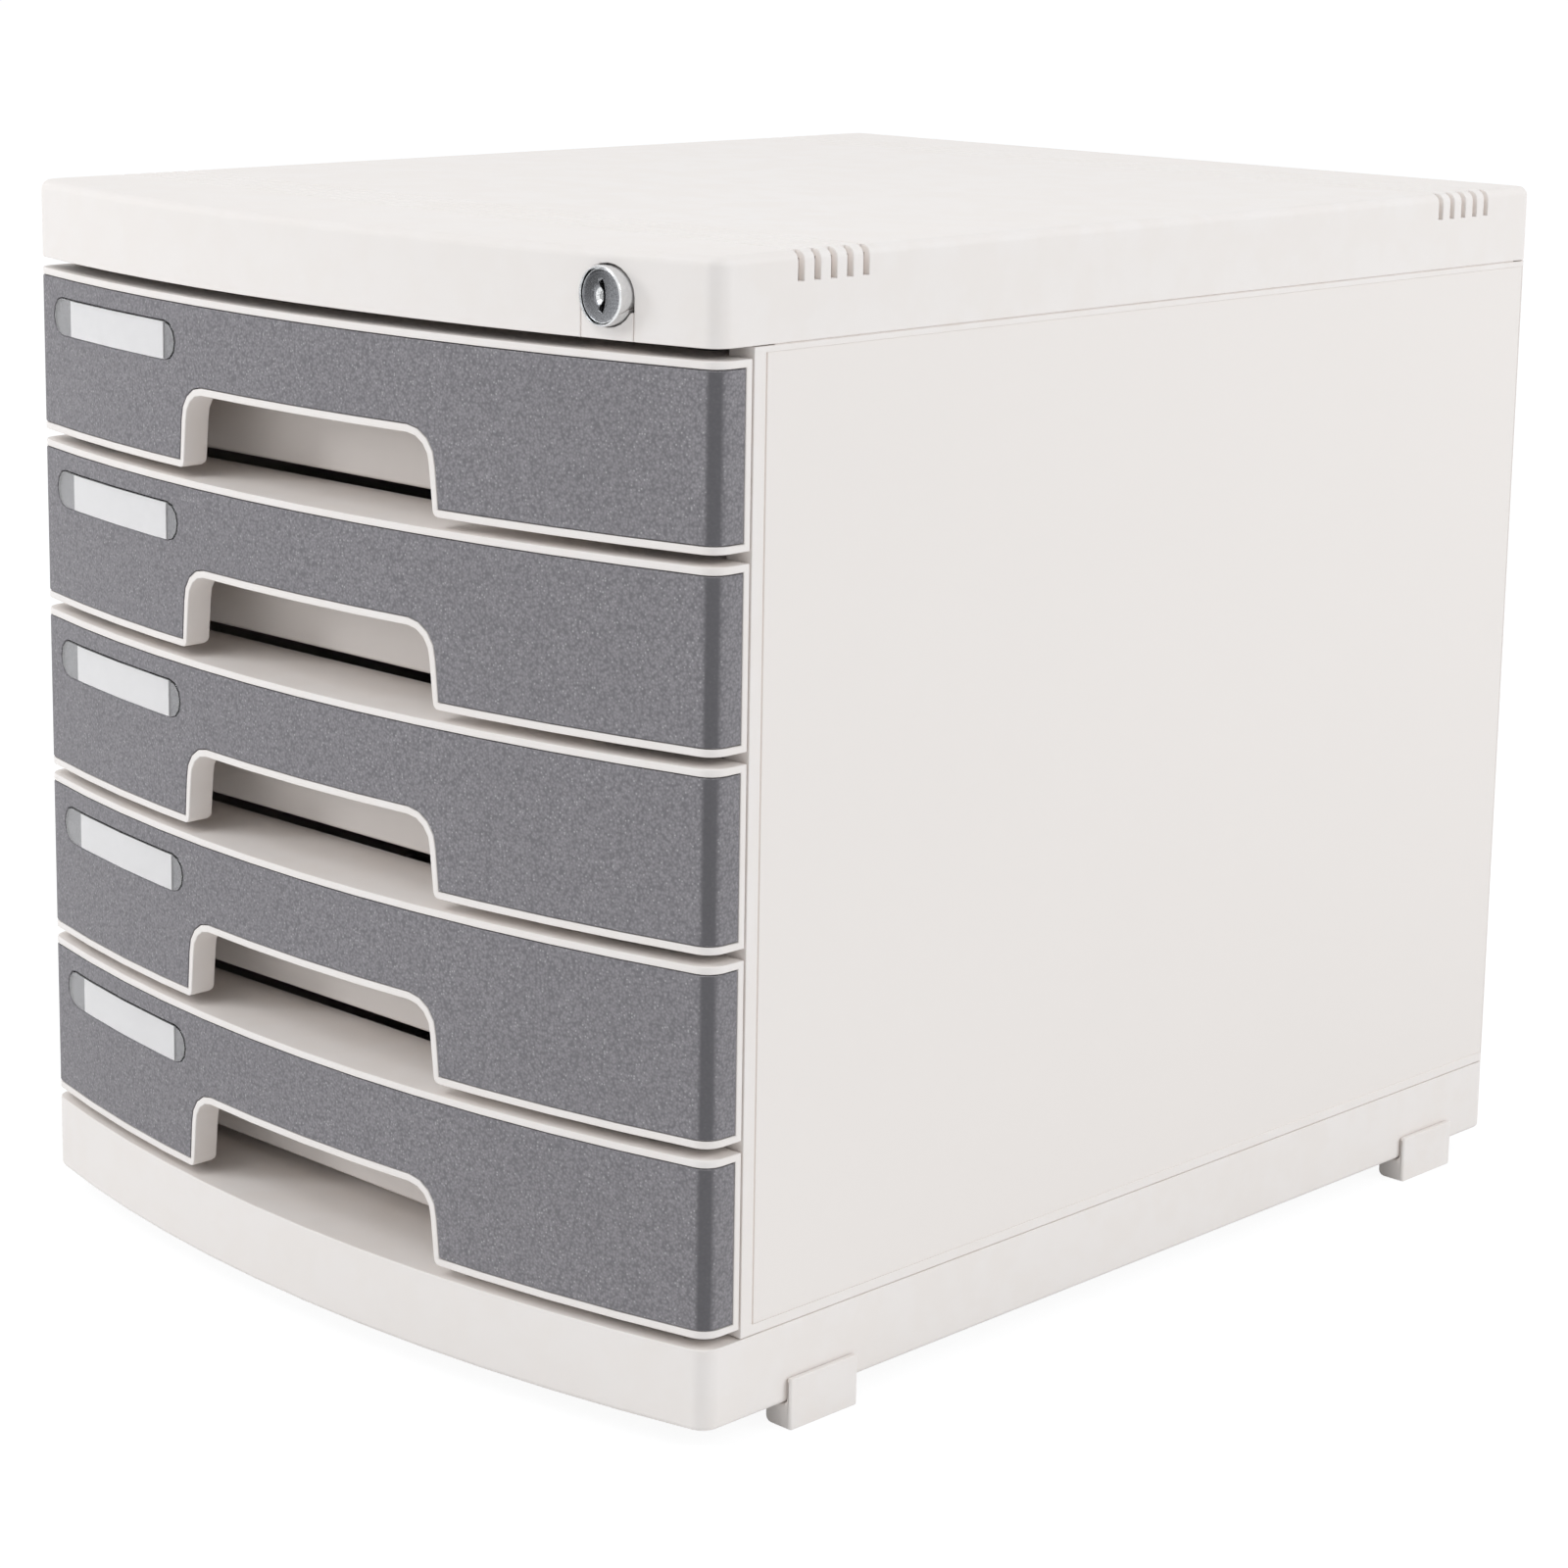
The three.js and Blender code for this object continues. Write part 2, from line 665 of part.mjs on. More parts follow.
// Cam: a plate on the square shank, with the pin that drives the lock bar
function makeLockCam() {
  const front = barrelRearY + lock.clearance;
  const rear = front + cam.thickness;
  const half = shankHalf + lock.clearance;
  const hubRadius = Math.SQRT2 * half + cam.hubWall;
  const lean = Math.acos((hubRadius - cam.pinEye) / cam.throw);
  const pinX = cam.throw * Math.cos(cam.restAngle);
  const pinZ = cam.throw * Math.sin(cam.restAngle);
  const eyeFrom = cam.restAngle - lean;
  const eyeTo = cam.restAngle + lean;
  const outline = new THREE.Shape([
    ...arc(pinX, pinZ, cam.pinEye, eyeFrom, eyeTo, 2 * filletSteps),
    ...arc(0, 0, hubRadius, eyeTo, eyeFrom + 2 * Math.PI, roundSteps / 2),
  ]);
  const squareHole = box([-half, half], [front - overrun, rear + overrun], [-half, half]);
  const pinEnd = barFrontY + bar.thickness + cam.pinOverhang;
  const pin = rod(cam.pinRadius, front + cam.thickness / 2, pinEnd, pinX, pinZ);
  return frontToBack(outline, front, rear).subtract(squareHole).add(pin);
}

// Screw that holds the cam on the plug
function makeCamScrew() {
  const seat = barrelRearY + lock.clearance + cam.thickness + lock.clearance;
  const shankTip = seat - lock.screwBoreDepth + lock.clearance;
  return turned([
    [0, shankTip],
    [camScrew.shankRadius, shankTip],
    [camScrew.shankRadius, seat],
    [camScrew.headRadius, seat],
    [camScrew.headRadius, seat + camScrew.headHeight / 2],
    [camScrew.headRadius - camScrew.headHeight / 2, seat + camScrew.headHeight],
    [0, seat + camScrew.headHeight],
  ]);
}

function drawerBottomZ(index) {
  return coverBottomZ - (index + 1) * (frontHeight + frontGap);
}

// Lock bar: upright strip, arm with the slot for the cam pin, and a bent tab for each drawer
function makeLockBar() {
  const pinX = lockX + cam.throw * Math.cos(cam.restAngle);
  const pinZ = lockZ + cam.throw * Math.sin(cam.restAngle);
  const armZ = [pinZ - bar.armHalfHeight, pinZ + bar.armHalfHeight];
  const bottom = drawerBottomZ(drawerCount - 1) + tabBottomZ - bar.tailLength;
  const slotHalf = cam.pinRadius + bar.slotClearance;
  const slotLeft = pinX - slotHalf;
  const slotRight = lockX + cam.throw + slotHalf;
  const strip = box([barInnerX, barOuterX], [barFrontY, barRearY], [bottom, armZ[1]]);
  const arm = box([slotLeft - bar.armOverhang, barOuterX], [barFrontY, barFrontY + bar.thickness], armZ);
  const slot = frontToBack(
    stadium(slotLeft, slotRight, pinZ - slotHalf, pinZ + slotHalf),
    barFrontY - overrun,
    barFrontY + bar.thickness + overrun,
  );
  const tabs = [];
  for (let i = 0; i < drawerCount; i += 1) {
    const tabZ = drawerBottomZ(i) + tabBottomZ;
    const tabX = [trayHalfWidth + bar.tabClearance, barOuterX];
    tabs.push(box(tabX, [barRearY - bar.thickness, barRearY], [tabZ, tabZ + bar.tabHeight]));
  }
  return join([strip, arm, ...tabs]).subtract(slot);
}

// Plan section of the right side panel: post, outer wall and rear flange
function panelSection() {
  const radius = rearCornerRadius;
  const postRearY = panelFrontY + shellWall;
  const flangeFrontY = rearY - rearFlange.thickness;
  return new THREE.Shape([
    new THREE.Vector2(postInnerX, panelFrontY),
    new THREE.Vector2(sideX, panelFrontY),
    ...arc(sideX - radius, rearY - radius, radius, 0, Math.PI / 2, filletSteps),
    new THREE.Vector2(sideX - rearFlange.depth, rearY),
    new THREE.Vector2(sideX - rearFlange.depth, flangeFrontY),
    new THREE.Vector2(sideInnerX, flangeFrontY),
    new THREE.Vector2(sideInnerX, postRearY),
    new THREE.Vector2(postInnerX, postRearY),
  ]);
}

// Runner ledge with its stop, under the lip of one drawer's tray
function makeRunner(index) {
  const top = drawerBottomZ(index) + frontHeight - lip.thickness - runner.clearance;
  const bottom = top - runner.thickness;
  const wallX = sideInnerX + shellWall / 2;
  const ledgeX = [trayHalfWidth + runner.trayClearance, wallX];
  const ledge = box(ledgeX, [runner.frontY, tongueY[1]], [bottom, top]);
  const stopX = [trayHalfWidth + stop.trayClearance, wallX];
  const stopY = [runner.frontY, runner.frontY + stop.length];
  const block = box(stopX, stopY, [bottom - stop.height, top - runner.thickness / 2]);
  return ledge.add(block);
}

// Right side panel, with everything that is moulded on both sides alike
function makePlainSidePanel() {
  const bottomZ = baseTopZ + seamGap;
  const topZ = coverBottomZ - seamGap;
  const body = upright(panelSection(), bottomZ, topZ);
  const channelRibX = [sideX - backPanel.channelRibDepth, sideInnerX + shellWall / 2];
  const channelRib = box(channelRibX, channelRibY, [bottomZ, topZ]);
  const tongueX = [sideInnerX - seamGap - tongue.thickness, sideInnerX - seamGap];
  const lapX = [tongueX[0], sideInnerX + shellWall / 2];
  const tongues = [
    box(tongueX, tongueY, [bottomZ - tongue.height, bottomZ + tongue.lap]),
    box(lapX, tongueY, [bottomZ, bottomZ + tongue.lap]),
    box(tongueX, tongueY, [topZ - tongue.lap, topZ + tongue.height]),
    box(lapX, tongueY, [topZ - tongue.lap, topZ]),
  ];
  const runners = [];
  for (let i = 0; i < drawerCount; i += 1) {
    runners.push(makeRunner(i));
  }
  const fieldFrontY = panelFrontY + post.bandWidth;
  const fieldZ = [bottomZ + field.bottomBand, topZ - field.topBand];
  const fieldY = [fieldFrontY, rearY - field.rearBand];
  const grooveY = [fieldFrontY, fieldFrontY + field.grooveWidth];
  const recess = box([sideX - field.recess, sideX + overrun], fieldY, fieldZ);
  const groove = box([sideX - field.grooveDepth, sideX + overrun], grooveY, fieldZ);
  return cut(join([body, channelRib, ...tongues, ...runners]), [recess, groove]);
}

// Guide for the lock bar: a pad behind the strip and a cheek on each edge of it
function makeBarGuide(index) {
  const bottom = drawerBottomZ(index) + tabBottomZ + bar.tabHeight + guide.tabGap;
  const z = [bottom, bottom + guide.height];
  const wallX = sideInnerX + shellWall / 2;
  const cheekX = [barInnerX - guide.cheekLap, wallX];
  const frontCheek = barFrontY - guide.clearance;
  const rearCheek = barRearY + guide.clearance;
  const padY = [frontCheek - guide.cheekThickness, rearCheek + guide.cheekThickness];
  return join([
    box([barOuterX + guide.clearance, wallX], padY, z),
    box(cheekX, [padY[0], frontCheek], z),
    box(cheekX, [rearCheek, padY[1]], z),
  ]);
}

function makeRightSidePanel(plainPanel) {
  const guides = [];
  for (let i = 0; i < drawerCount; i += 1) {
    guides.push(makeBarGuide(i));
  }
  return join([plainPanel, ...guides]);
}

// Back panel: a plain sheet in the channels of the side panels, up into the cover
function makeBackPanel() {
  const half = sideInnerX - rearInnerRadius;
  const sheetZ = [baseTopZ + seamGap, coverBottomZ + tongue.height];
  return box([-half, half], [backPanelFrontY, backPanelRearY], sheetZ);
}

// Right-hand foot, drawn where the front one goes
function makeFoot() {
  const flangeX = sideX + seamGap;
  const outerX = flangeX + foot.flangeThickness;
  const innerX = sideX - foot.padWidth;
  const padTop = foot.drop - seamGap;
  const flangeTop = foot.drop + foot.flangeLap;
  const tongueTop = foot.drop + foot.tongueLap;
  const tongueX = [sideInnerX - seamGap - foot.tongueThickness, sideInnerX - seamGap];
  const filletX = sideX - baseEdgeRadius;
  const filletZ = foot.drop + baseEdgeRadius;
  const radius = foot.roundRadius;
  const outline = new THREE.Shape([
    new THREE.Vector2(outerX, 0),
    new THREE.Vector2(outerX, flangeTop),
    new THREE.Vector2(flangeX, flangeTop),
    ...arc(filletX, filletZ, baseEdgeRadius + seamGap, 0, -Math.PI / 2, smallArcSteps),
    new THREE.Vector2(tongueX[1], padTop),
    new THREE.Vector2(tongueX[1], tongueTop),
    new THREE.Vector2(tongueX[0], tongueTop),
    new THREE.Vector2(tongueX[0], padTop),
    new THREE.Vector2(innerX, padTop),
    ...arc(innerX + radius, radius, radius, Math.PI, (3 * Math.PI) / 2, smallArcSteps),
  ]);
  return frontToBack(outline, 0, foot.length, foot.edge);
}

// Tray box with its side lips, lock lug and rear stop ribs
function makeTrayBox() {
  const wallX = trayHalfWidth - trayWall / 2;
  const lipZ = [frontHeight - lip.thickness, frontHeight];
  const ribRearY = trayRearY - stopRib.rearInset;
  const ribTop = lipZ[0] - runner.clearance - runner.thickness - stopRib.topClearance;
  const ribX = [wallX, trayHalfWidth + stopRib.reach];
  const rib = box(ribX, [ribRearY - stopRib.thickness, ribRearY], [ribTop - stopRib.height, ribTop]);
  const lugFrontY = barRearY + lockLug.frontClearance;
  const lugZ = [lockLug.bottomZ, lockLug.bottomZ + lockLug.height];
  const lug = box([wallX, trayHalfWidth + lockLug.reach], [lugFrontY, lugFrontY + lockLug.thickness], lugZ);
  const outer = softEdged(trayPlan(trayHalfWidth, 0), 0, frontHeight, trayEdgeRadius, false);
  const lips = upright(trayPlan(lipHalfWidth, 0), ...lipZ);
  const hollow = upright(trayPlan(trayHalfWidth - trayWall, trayWall), trayFloor, frontHeight + overrun);
  return join([outer, lips, rib, mirrorX(rib), lug]).subtract(hollow);
}

// Plan of the tray box at a half width, with its ends drawn in by an inset
function trayPlan(halfWidth, inset) {
  const ends = [trayFrontY + inset, trayRearY - inset];
  return roundedRectangle(-halfWidth, halfWidth, ...ends, trayCornerRadius - inset / 2, smallArcSteps);
}

// Drawer moulding: the tray and, in one piece with it, the bowed front frame
function makeTray() {
  const wallOuter = insert.thickness + insert.seatGap;
  const wallInner = wallOuter + fasciaWall;
  const full = [0, frontHeight];
  const frontWall = upright(bowStrip(0, wallInner, frontEndY), ...full);
  const topWeb = upright(frontShape(0, frontEndY), frontHeight - rim, frontHeight);
  const bridgeY = [frontEndY - overrun, trayFrontY + trayWall];
  const webBridge = box([-lipHalfWidth, lipHalfWidth], bridgeY, [frontHeight - rim, frontHeight]);
  const returnDepth = upright(bowStrip(0, fasciaDepth, frontEndY), ...full);
  const returnWall = frontToBack(archShape(rim), frontNear(), frontEndY)
    .intersect(returnDepth)
    .subtract(makeHeelCutter());
  const insideBow = upright(frontShape(wallOuter + fasciaWall / 2, trayFrontY + trayWall), ...full);
  const ribs = fasciaRib.shares.flatMap((share) => [-1, 1].map((side) => {
    const x = side * share * sideX;
    const xs = [x - fasciaRib.thickness / 2, x + fasciaRib.thickness / 2];
    return box(xs, [frontNear(), trayFrontY + trayWall / 2], full).intersect(insideBow);
  }));
  const pocket = upright(bowStrip(-overrun, wallOuter, frontEndY - rim), rim, frontHeight - rim)
    .subtract(frontToBack(archShape(rim), frontNear() - overrun, frontEndY));
  const fingerHole = frontToBack(openArchShape(), frontNear() - overrun, frontEndY);
  const front = join([frontWall, topWeb, webBridge, returnWall, ...ribs]);
  return cut(front, [pocket, fingerHole]).add(makeTrayBox());
}

// Cutter that rounds the free lower corners of the return wall on both sides of the cut-out
function makeHeelCutter() {
  const wallX = cutOut.halfWidth + rim;
  const heelY = bowY(wallX) + fasciaDepth;
  const radius = cutOut.heelRadius;
  const corner = new THREE.Shape([
    new THREE.Vector2(heelY - radius, -overrun),
    new THREE.Vector2(heelY + radius, -overrun),
    new THREE.Vector2(heelY + radius, radius),
    ...arc(heelY - radius, radius, radius, 0, -Math.PI / 2, smallArcSteps),
  ]);
  return sideToSide(corner, -wallX - overrun, wallX + overrun);
}

// Grey insert panel, with its cut-out and the recess for the label
function makePanel() {
  const margin = rim + insert.clearance;
  const body = upright(
    bowStrip(0, insert.thickness, frontEndY - margin),
    margin,
    frontHeight - margin,
  );
  const arch = frontToBack(archShape(margin), frontNear() - overrun, frontEndY);
  const recessDepth = label.lensThickness + 2 * label.cardGap + label.cardThickness;
  const recessSkin = upright(bowStrip(-overrun, recessDepth, frontEndY), 0, frontHeight);
  const recess = frontToBack(labelShape(0), frontNear() - overrun, frontEndY).intersect(recessSkin);
  return cut(body, [arch, recess]);
}

function labelShape(shrink) {
  const top = frontHeight - label.windowTopDrop;
  const left = label.windowInset - sideX;
  return stadium(
    left + shrink,
    left + label.windowLength - shrink,
    top - label.windowHeight + shrink,
    top - shrink,
  );
}

// Clear lens that fills the label window
function makeLens() {
  const skin = upright(bowStrip(0, label.lensThickness, frontEndY), 0, frontHeight);
  return frontToBack(labelShape(label.lensClearance), frontNear() - overrun, frontEndY).intersect(skin);
}

// Paper card behind the lens
function makeCard() {
  const outerInset = label.lensThickness + label.cardGap;
  const sheet = upright(bowStrip(outerInset, outerInset + label.cardThickness, frontEndY), 0, frontHeight);
  const top = frontHeight - label.windowTopDrop - label.cardMargin;
  const bottom = top - label.windowHeight + 2 * label.cardMargin;
  const left = label.windowInset + label.cardInset - sideX;
  const outline = rectangle(left, left + label.cardLength, bottom, top);
  return frontToBack(outline, frontNear() - overrun, frontEndY).intersect(sheet);
}

// Assembly
const cabinet = new THREE.Group();
cabinet.position.y = bowRise - cabinetDepth / 2;

function place(parent, name, geometry, material, x, y, z) {
  const mesh = new THREE.Mesh(geometry, material);
  mesh.name = name;
  mesh.position.set(x, y, z);
  parent.add(mesh);
}

const plainPanel = makePlainSidePanel();
place(cabinet, 'top_cover', toGeometry(makeTopCover()), offWhite, 0, 0, 0);
place(cabinet, 'base', toGeometry(makeBase()), offWhite, 0, 0, 0);
place(cabinet, 'left_side_panel', toGeometry(mirrorX(plainPanel)), offWhite, 0, 0, 0);
place(cabinet, 'right_side_panel', toGeometry(makeRightSidePanel(plainPanel)), offWhite, 0, 0, 0);
place(cabinet, 'back_panel', toGeometry(makeBackPanel()), offWhite, 0, 0, 0);

const rightFoot = makeFoot();
const feet = { left: toGeometry(mirrorX(rightFoot)), right: toGeometry(rightFoot) };
for (const [side, geometry] of Object.entries(feet)) {
  place(cabinet, `front_${side}_foot`, geometry, offWhite, 0, foot.frontY, 0);
  place(cabinet, `rear_${side}_foot`, geometry, offWhite, 0, rearY - foot.rearInset - foot.length, 0);
}

place(cabinet, 'lock_plate', toGeometry(makeLockPlate()), offWhite, 0, 0, 0);
place(cabinet, 'lock_housing', toGeometry(makeLockHousing()), chrome, lockX, 0, lockZ);
place(cabinet, 'lock_nut', toGeometry(makeLockNut()), steel, lockX, 0, lockZ);
place(cabinet, 'lock_plug', toGeometry(makeLockPlug()), chrome, lockX, 0, lockZ);
place(cabinet, 'lock_cam', toGeometry(makeLockCam()), steel, lockX, 0, lockZ);
place(cabinet, 'cam_screw', toGeometry(makeCamScrew()), steel, lockX, 0, lockZ);
place(cabinet, 'lock_bar', toGeometry(makeLockBar()), steel, 0, 0, 0);

const drawerPieces = [
  ['tray', toGeometry(makeTray()), offWhite],
  ['panel', toGeometry(makePanel()), grey],
  ['label_lens', toGeometry(makeLens()), clear],
  ['label_card', toGeometry(makeCard()), paper],
];
for (let i = 0; i < drawerCount; i += 1) {
  const drawer = new THREE.Group();
  drawer.position.z = drawerBottomZ(i);
  for (const [piece, geometry, material] of drawerPieces) {
    place(drawer, `drawer_${i + 1}_${piece}`, geometry, material, 0, 0, 0);
  }
  cabinet.add(drawer);
}

const group = new THREE.Group();
group.add(cabinet);

export default group;
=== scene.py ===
"""Surfaces, lock and studio of a five-drawer desktop file cabinet.

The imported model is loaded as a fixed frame. Each visible moulding is a merged copy of its node with
rounded outer corners, the lock's head and plug are turned anew, and every piece gets a procedural
finish.
"""

import json
import logging
import math
from collections.abc import Iterable
from dataclasses import dataclass, field
from enum import Enum

import bmesh
import bpy
from mathutils import Matrix, Vector

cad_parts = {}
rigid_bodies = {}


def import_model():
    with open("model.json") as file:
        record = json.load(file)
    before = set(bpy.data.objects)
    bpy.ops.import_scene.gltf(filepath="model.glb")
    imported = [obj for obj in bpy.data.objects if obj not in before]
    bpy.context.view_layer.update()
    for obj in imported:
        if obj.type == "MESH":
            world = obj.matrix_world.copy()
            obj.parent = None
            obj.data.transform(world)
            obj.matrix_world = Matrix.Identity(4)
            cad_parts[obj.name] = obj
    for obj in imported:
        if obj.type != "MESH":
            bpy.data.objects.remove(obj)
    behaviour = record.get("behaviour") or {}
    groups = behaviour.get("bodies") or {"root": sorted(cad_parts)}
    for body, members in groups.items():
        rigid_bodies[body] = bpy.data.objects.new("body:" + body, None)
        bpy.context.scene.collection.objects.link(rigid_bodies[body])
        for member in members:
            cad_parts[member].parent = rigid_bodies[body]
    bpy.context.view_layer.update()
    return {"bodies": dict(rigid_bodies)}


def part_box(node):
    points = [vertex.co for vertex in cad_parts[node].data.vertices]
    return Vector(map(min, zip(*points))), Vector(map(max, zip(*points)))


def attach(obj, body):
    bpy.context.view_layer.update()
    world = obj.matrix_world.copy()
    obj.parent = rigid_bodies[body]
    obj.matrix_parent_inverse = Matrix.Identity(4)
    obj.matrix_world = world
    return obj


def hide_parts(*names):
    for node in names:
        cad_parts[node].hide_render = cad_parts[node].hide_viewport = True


LOG = logging.getLogger("file_cabinet")

MM = 0.001
MERGE_DISTANCE = 0.002 * MM
FLAT_ANGLE = math.radians(0.6)
CORNER_ANGLE = math.radians(32)
CORNER_WEIGHT = "bevel_weight_edge"
ROUND_PROFILE = 0.5
FORWARD_FACING = 0.6
SIDEWAYS_FACING = 0.3
ALONG_Y = (0.0, 1.0, 0.0)
PLASTIC_IOR = 1.46
WHITE = (1.0, 1.0, 1.0)

# Where a Mix node keeps its factor, its two colours and its result
MIX_INPUTS = (0, 6, 7)
MIX_RESULT = 2

Span = tuple[float, float]
Triple = tuple[float, float, float]
Colour = Triple
Form = bmesh.types.BMesh
Piece = bpy.types.Object
Material = bpy.types.Material
Socket = bpy.types.NodeSocket
Source = Socket | float


class Slot(Enum):
    """Material slots of the record."""

    SHELL = "shell_plastic"
    PANEL = "panel_plastic"
    LENS = "lens_plastic"
    CARD = "label_paper"
    CHROME = "lock_chrome"
    STEEL = "lock_steel"


class Carve(Enum):
    """Ways in which one closed form works on another."""

    CUT = "DIFFERENCE"
    KEEP_SHARED = "INTERSECT"
    WELD = "UNION"


class Side(Enum):
    """The two sides of the cabinet, as someone facing the drawers sees them."""

    LEFT = "left"
    RIGHT = "right"


# Node trees, and the shader effects that several finishes share


@dataclass
class Board:
    """A node tree whose nodes are being laid."""

    tree: bpy.types.NodeTree

    def add(self, kind: str, **settings: object) -> bpy.types.Node:
        """Adds a node.

        Args:
            kind: The node's type, without its ShaderNode prefix.
            **settings: Values of the node's properties.

        Returns:
            The new node.
        """
        node = self.tree.nodes.new(f"ShaderNode{kind}")
        for name, value in settings.items():
            setattr(node, name, value)
        return node

    def feed(self, target: Socket, source: Source | Triple) -> None:
        """Links a socket, or sets its value.

        Args:
            target: The socket that receives.
            source: Another socket, a number, or the three numbers of a place or a colour.
        """
        if isinstance(source, Socket):
            self.tree.links.new(source, target)
        elif target.type == "RGBA":
            target.default_value = (*source, 1.0)
        else:
            target.default_value = source

    def maths(self, operation: str, *values: Source) -> Socket:
        """Works out one number from others.

        Args:
            operation: The Math node's operation.
            *values: Sockets or plain values.

        Returns:
            The socket with the result.
        """
        node = self.add("Math", operation=operation)
        for socket, value in zip(node.inputs, values):
            self.feed(socket, value)
        return node.outputs["Value"]

    def mix(self, factor: Socket, first: Socket | Colour, second: Socket | Colour) -> Socket:
        """Mixes two colours.

        Args:
            factor: The mask that picks the second one.
            first: The first colour.
            second: The second colour.

        Returns:
            The socket with the mixed colour.
        """
        node = self.add("Mix", data_type="RGBA")
        for place, source in zip(MIX_INPUTS, (factor, first, second)):
            self.feed(node.inputs[place], source)
        return node.outputs[MIX_RESULT]

    def ranged(self, value: Socket, low: float, high: float) -> Socket:
        """Turns a value of 0 to 1 into one between two others.

        Args:
            value: The value of 0 to 1.
            low: What 0 becomes.
            high: What 1 becomes.

        Returns:
            The socket with the new value.
        """
        node = self.add("MapRange")
        for name, source in (("Value", value), ("To Min", low), ("To Max", high)):
            self.feed(node.inputs[name], source)
        return node.outputs["Result"]

    def show_mix(self, factor: Socket, first: bpy.types.Node, second: bpy.types.Node) -> None:
        """Shows a mix of two shaders on the surface.

        Args:
            factor: The mask that picks the second one.
            first: The first shader.
            second: The second shader.
        """
        node = self.add("MixShader")
        for socket, source in zip(node.inputs, (factor, first.outputs[0], second.outputs[0])):
            self.feed(socket, source)
        self.feed(self.tree.nodes["Material Output"].inputs["Surface"], node.outputs["Shader"])


class Effect(Board):
    """A shader node group with named inputs and outputs."""

    def __init__(self, name: str) -> None:
        """Starts an empty group.

        Args:
            name: The group's name.
        """
        super().__init__(bpy.data.node_groups.new(name, "ShaderNodeTree"))
        self.entry = self.tree.nodes.new("NodeGroupInput")
        self.exit = self.tree.nodes.new("NodeGroupOutput")

    def takes(self, name: str, kind: str, value: float | Iterable[float]) -> Socket:
        """Adds an input.

        Args:
            name: The input's name.
            kind: Float, Color or Vector.
            value: Its value where a material sets none.

        Returns:
            The socket inside the group.
        """
        item = self.tree.interface.new_socket(name, in_out="INPUT", socket_type=f"NodeSocket{kind}")
        item.default_value = value
        return self.entry.outputs[name]

    def gives(self, name: str, kind: str, source: Socket) -> None:
        """Adds an output.

        Args:
            name: The output's name.
            kind: Float or Color.
            source: The socket that feeds it.
        """
        self.tree.interface.new_socket(name, in_out="OUTPUT", socket_type=f"NodeSocket{kind}")
        self.feed(self.exit.inputs[name], source)

    def spread(self, value: Socket, low: Source, high: Source) -> Socket:
        """Stretches the part of a value between two bounds to 0 and 1.

        Args:
            value: The value to stretch.
            low: What becomes 0.
            high: What becomes 1.

        Returns:
            The socket with the stretched value.
        """
        node = self.add("MapRange", interpolation_type="SMOOTHSTEP")
        for name, source in (("Value", value), ("From Min", low), ("From Max", high)):
            self.feed(node.inputs[name], source)
        return node.outputs["Result"]

    def pattern(self, kind: str, scale: Source, **settings: object) -> bpy.types.Node:
        """Adds a pattern on object coordinates.

        Args:
            kind: The pattern's type, without its ShaderNodeTex prefix.
            scale: Waves or cells in a metre.
            **settings: Values of the node's properties.

        Returns:
            The pattern's node.
        """
        node = self.add(f"Tex{kind}", **settings)
        self.feed(node.inputs["Vector"], self.add("TexCoord").outputs["Object"])
        self.feed(node.inputs["Scale"], scale)
        return node

    def noise(self, scale: Source, detail: float) -> Socket:
        """Reads a noise on object coordinates.

        Args:
            scale: Waves in a metre.
            detail: How many finer layers it has.

        Returns:
            The socket with the noise.
        """
        node = self.pattern("Noise", scale)
        self.feed(node.inputs["Detail"], detail)
        return node.outputs["Fac"]


def make_spark_grain() -> Effect:
    """Makes the fine pebbled texture of a mould: rounded cells under a finer noise.

    Returns:
        The group, with the grain's height.
    """
    smoothness, ripple_scale, ripple_detail = 0.6, 0.45, 3.0
    effect = Effect("spark_grain")
    cells_per_metre = effect.takes("Cells", "Float", 1500.0)
    softness = effect.takes("Softness", "Float", 0.5)
    cells = effect.pattern("Voronoi", cells_per_metre, feature="SMOOTH_F1")
    effect.feed(cells.inputs["Smoothness"], smoothness)
    domes = effect.maths("SUBTRACT", 1.0, cells.outputs["Distance"])
    ripples = effect.noise(effect.maths("MULTIPLY", cells_per_metre, ripple_scale), ripple_detail)
    kept = effect.maths("MULTIPLY", domes, effect.maths("SUBTRACT", 1.0, softness))
    blended = effect.maths("ADD", kept, effect.maths("MULTIPLY", ripples, softness))
    effect.gives("Height", "Float", blended)
    return effect


def make_tone_drift() -> Effect:
    """Makes the slow change of tone over a moulding.

    Returns:
        The group, with the changed colour and the mask that changed it.
    """
    detail, low, high, middle = 4.0, 0.3, 0.7, 0.5
    effect = Effect("tone_drift")
    colour = effect.takes("Colour", "Color", (0.8, 0.8, 0.8, 1.0))
    amount = effect.takes("Amount", "Float", 0.03)
    waves = effect.takes("Waves", "Float", 14.0)
    mask = effect.spread(effect.noise(waves, detail), low, high)
    centred = effect.maths("SUBTRACT", mask, middle)
    gain = effect.maths("ADD", 1.0, effect.maths("MULTIPLY", centred, amount))
    scaled = effect.add("VectorMath", operation="SCALE")
    effect.feed(scaled.inputs["Vector"], colour)
    effect.feed(scaled.inputs["Scale"], gain)
    effect.gives("Colour", "Color", scaled.outputs["Vector"])
    effect.gives("Mask", "Float", mask)
    return effect


